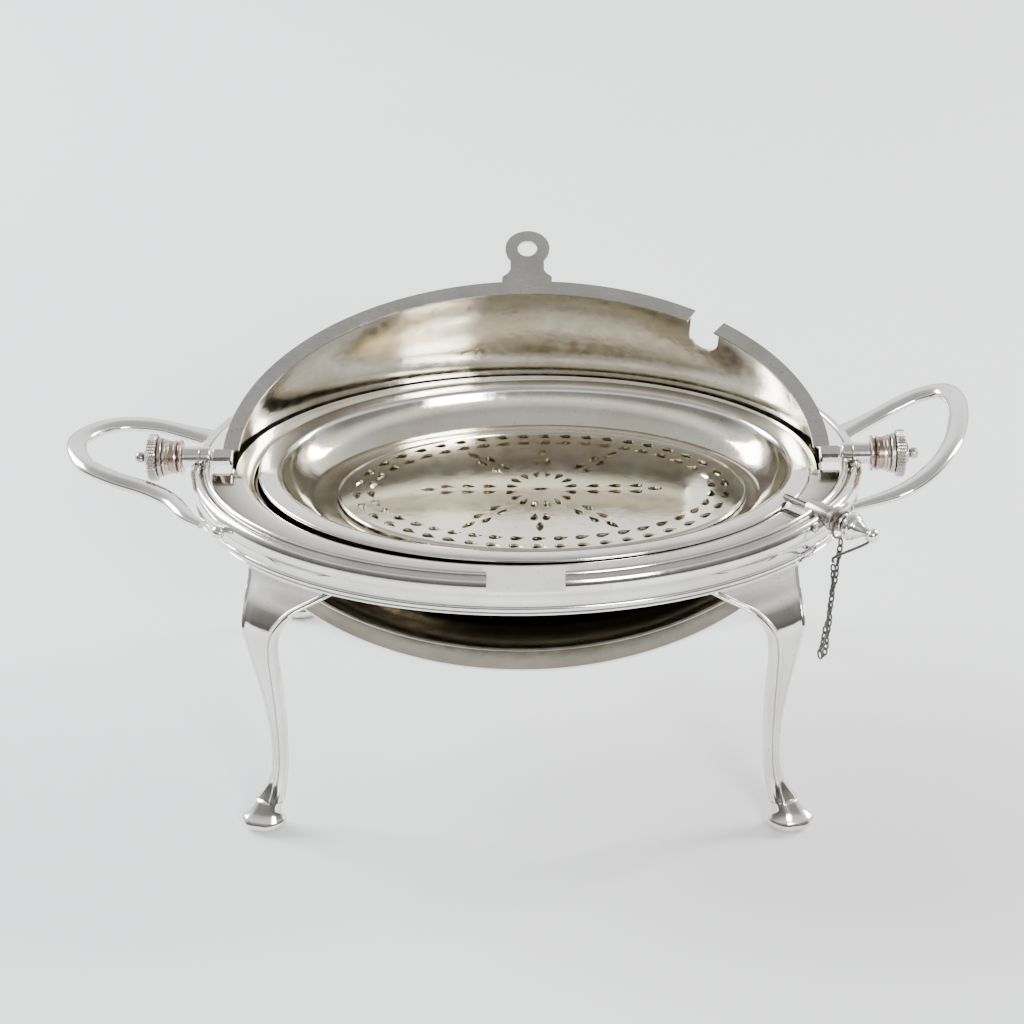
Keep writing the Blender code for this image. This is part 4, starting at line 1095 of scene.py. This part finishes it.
def toes(middle, out, along):
    """A scroll foot: a rolled bar along the floor with a waisted ankle above it."""
    outline = smooth([(0.0000, 0.0058, 0.0044), (0.0006, 0.0072, 0.0058), (0.0018, 0.0084, 0.0071),
            (0.0034, 0.0089, 0.0077), (0.005, 0.0085, 0.0072), (0.0064, 0.0075, 0.0062),
            (0.0078, 0.0066, 0.0054), (0.0092, 0.006, 0.0049), (0.0108, 0.0056, 0.0045),
            (0.0125, 0.0053, 0.0042)], 44)
    rings = []
    for z, wide, deep in outline:
        rise = z / 0.0125
        power = 0.88 + 0.12 * rise
        ring = []
        for k in range(72):
            turn = 2 * math.pi * k / 72
            c, s = math.cos(turn), math.sin(turn)
            waist = 1 + TOE_LOBE * max(0.0, s) * math.cos(6 * (turn - math.pi / 2)) * (1 - rise)
            x = wide * math.copysign(abs(c) ** power, c)
            y = deep * waist * math.copysign(abs(s) ** power, s) + 0.0022 - 0.004 * rise ** 2
            ring.append(middle + along * x + out * y + Vector((0, 0, z)))
        rings.append(ring)
    return loft(rings)


# ------------------------------------------------------------- studio, camera
def camera():
    """The viewing angle: in front, a little to the right, looking down."""
    yaw, pitch, roll = CAMERA_TURN
    ahead = Vector((math.sin(yaw) * math.cos(pitch), math.cos(yaw) * math.cos(pitch), -math.sin(pitch)))
    right = Vector((math.cos(yaw), -math.sin(yaw), 0))
    up = right.cross(ahead)
    across = right * math.cos(roll) + up * math.sin(roll)
    above = up * math.cos(roll) - right * math.sin(roll)
    lens = bpy.data.cameras.new("camera")
    lens.sensor_width = SENSOR
    lens.lens = LENS
    lens.clip_start = 0.01
    view = bpy.data.objects.new("camera", lens)
    turn = Matrix((across, above, -ahead)).transposed().to_4x4()
    view.matrix_world = Matrix.Translation(CAMERA_PLACE) @ turn
    bpy.context.scene.collection.objects.link(view)
    bpy.context.scene.camera = view


def lamp(name, place, size, power, aim=(0, 0, 0.1), colour=(1, 1, 1)):
    """A soft rectangular light pointed at the dish."""
    data = bpy.data.lights.new(name, "AREA")
    data.shape = "RECTANGLE"
    data.size, data.size_y = size
    data.energy = power
    data.color = colour
    item = bpy.data.objects.new(name, data)
    way = Vector(aim) - Vector(place)
    item.matrix_world = Matrix.Translation(place) @ way.to_track_quat("-Z", "Y").to_matrix().to_4x4()
    bpy.context.scene.collection.objects.link(item)


def studio():
    """A plain pale floor, a pale room and three soft lights."""
    bm = bmesh.new()
    bmesh.ops.create_grid(bm, x_segments=2, y_segments=2, size=6)
    mesh = bpy.data.meshes.new("floor")
    bm.to_mesh(mesh)
    bm.free()
    floor = bpy.data.objects.new("floor", mesh)
    bpy.context.scene.collection.objects.link(floor)
    made, tree, shader = graph("floor_paper")
    shader.inputs["Metallic"].default_value = 0.0
    shader.inputs["Roughness"].default_value = 0.6
    tree.links.new(ramp(tree, noise(tree, 3, 3), 0.3, 0.7, FLOOR_TONE[0], FLOOR_TONE[1]),
            shader.inputs["Base Color"])
    mesh.materials.append(made)

    world = bpy.data.worlds.new("room")
    bpy.context.scene.world = world
    world.use_nodes = True
    tree = world.node_tree
    place = tree.nodes.new("ShaderNodeTexCoord")
    split = tree.nodes.new("ShaderNodeSeparateXYZ")
    tree.links.new(place.outputs["Generated"], split.inputs["Vector"])
    front = level(tree, split.outputs["Z"], FRONT_ROOM)
    rear = level(tree, split.outputs["Z"], BACK_ROOM)
    side = tree.nodes.new("ShaderNodeMapRange")
    side.interpolation_type = "SMOOTHSTEP"
    side.inputs["From Min"].default_value = -0.35
    side.inputs["From Max"].default_value = 0.45
    tree.links.new(split.outputs["Y"], side.inputs["Value"])
    tree.links.new(blend_colour(tree, front, rear, side.outputs["Result"]),
            tree.nodes["Background"].inputs["Color"])
    tree.nodes["Background"].inputs["Strength"].default_value = WORLD_POWER
    lamp("window", (-1.7, 0.9, 1.3), (1.2, 1.2), 88, colour=(0.93, 0.97, 1.0))
    lamp("front_fill", (0.9, -2.1, 1.3), (0.7, 0.6), 46)
    lamp("right_strip", (1.8, 0.7, 1.1), (0.5, 1.2), 48, colour=(1.0, 0.98, 0.95))


def level(tree, height, stops):
    """A room wall's brightness from floor to ceiling."""
    made = tree.nodes.new("ShaderNodeValToRGB")
    marks = made.color_ramp.elements
    while len(marks) < len(stops):
        marks.new(0.5)
    for mark, (at, tone) in zip(marks, stops):
        mark.position = at
        mark.color = (*tone, 1)
    tree.links.new(height, made.inputs["Fac"])
    return made.outputs["Color"]


camera()
links()
frame_rim()
dishes()
lid_dome()
lid_flange()
lid_band()
fittings()
pin()
handles()
legs()
studio()
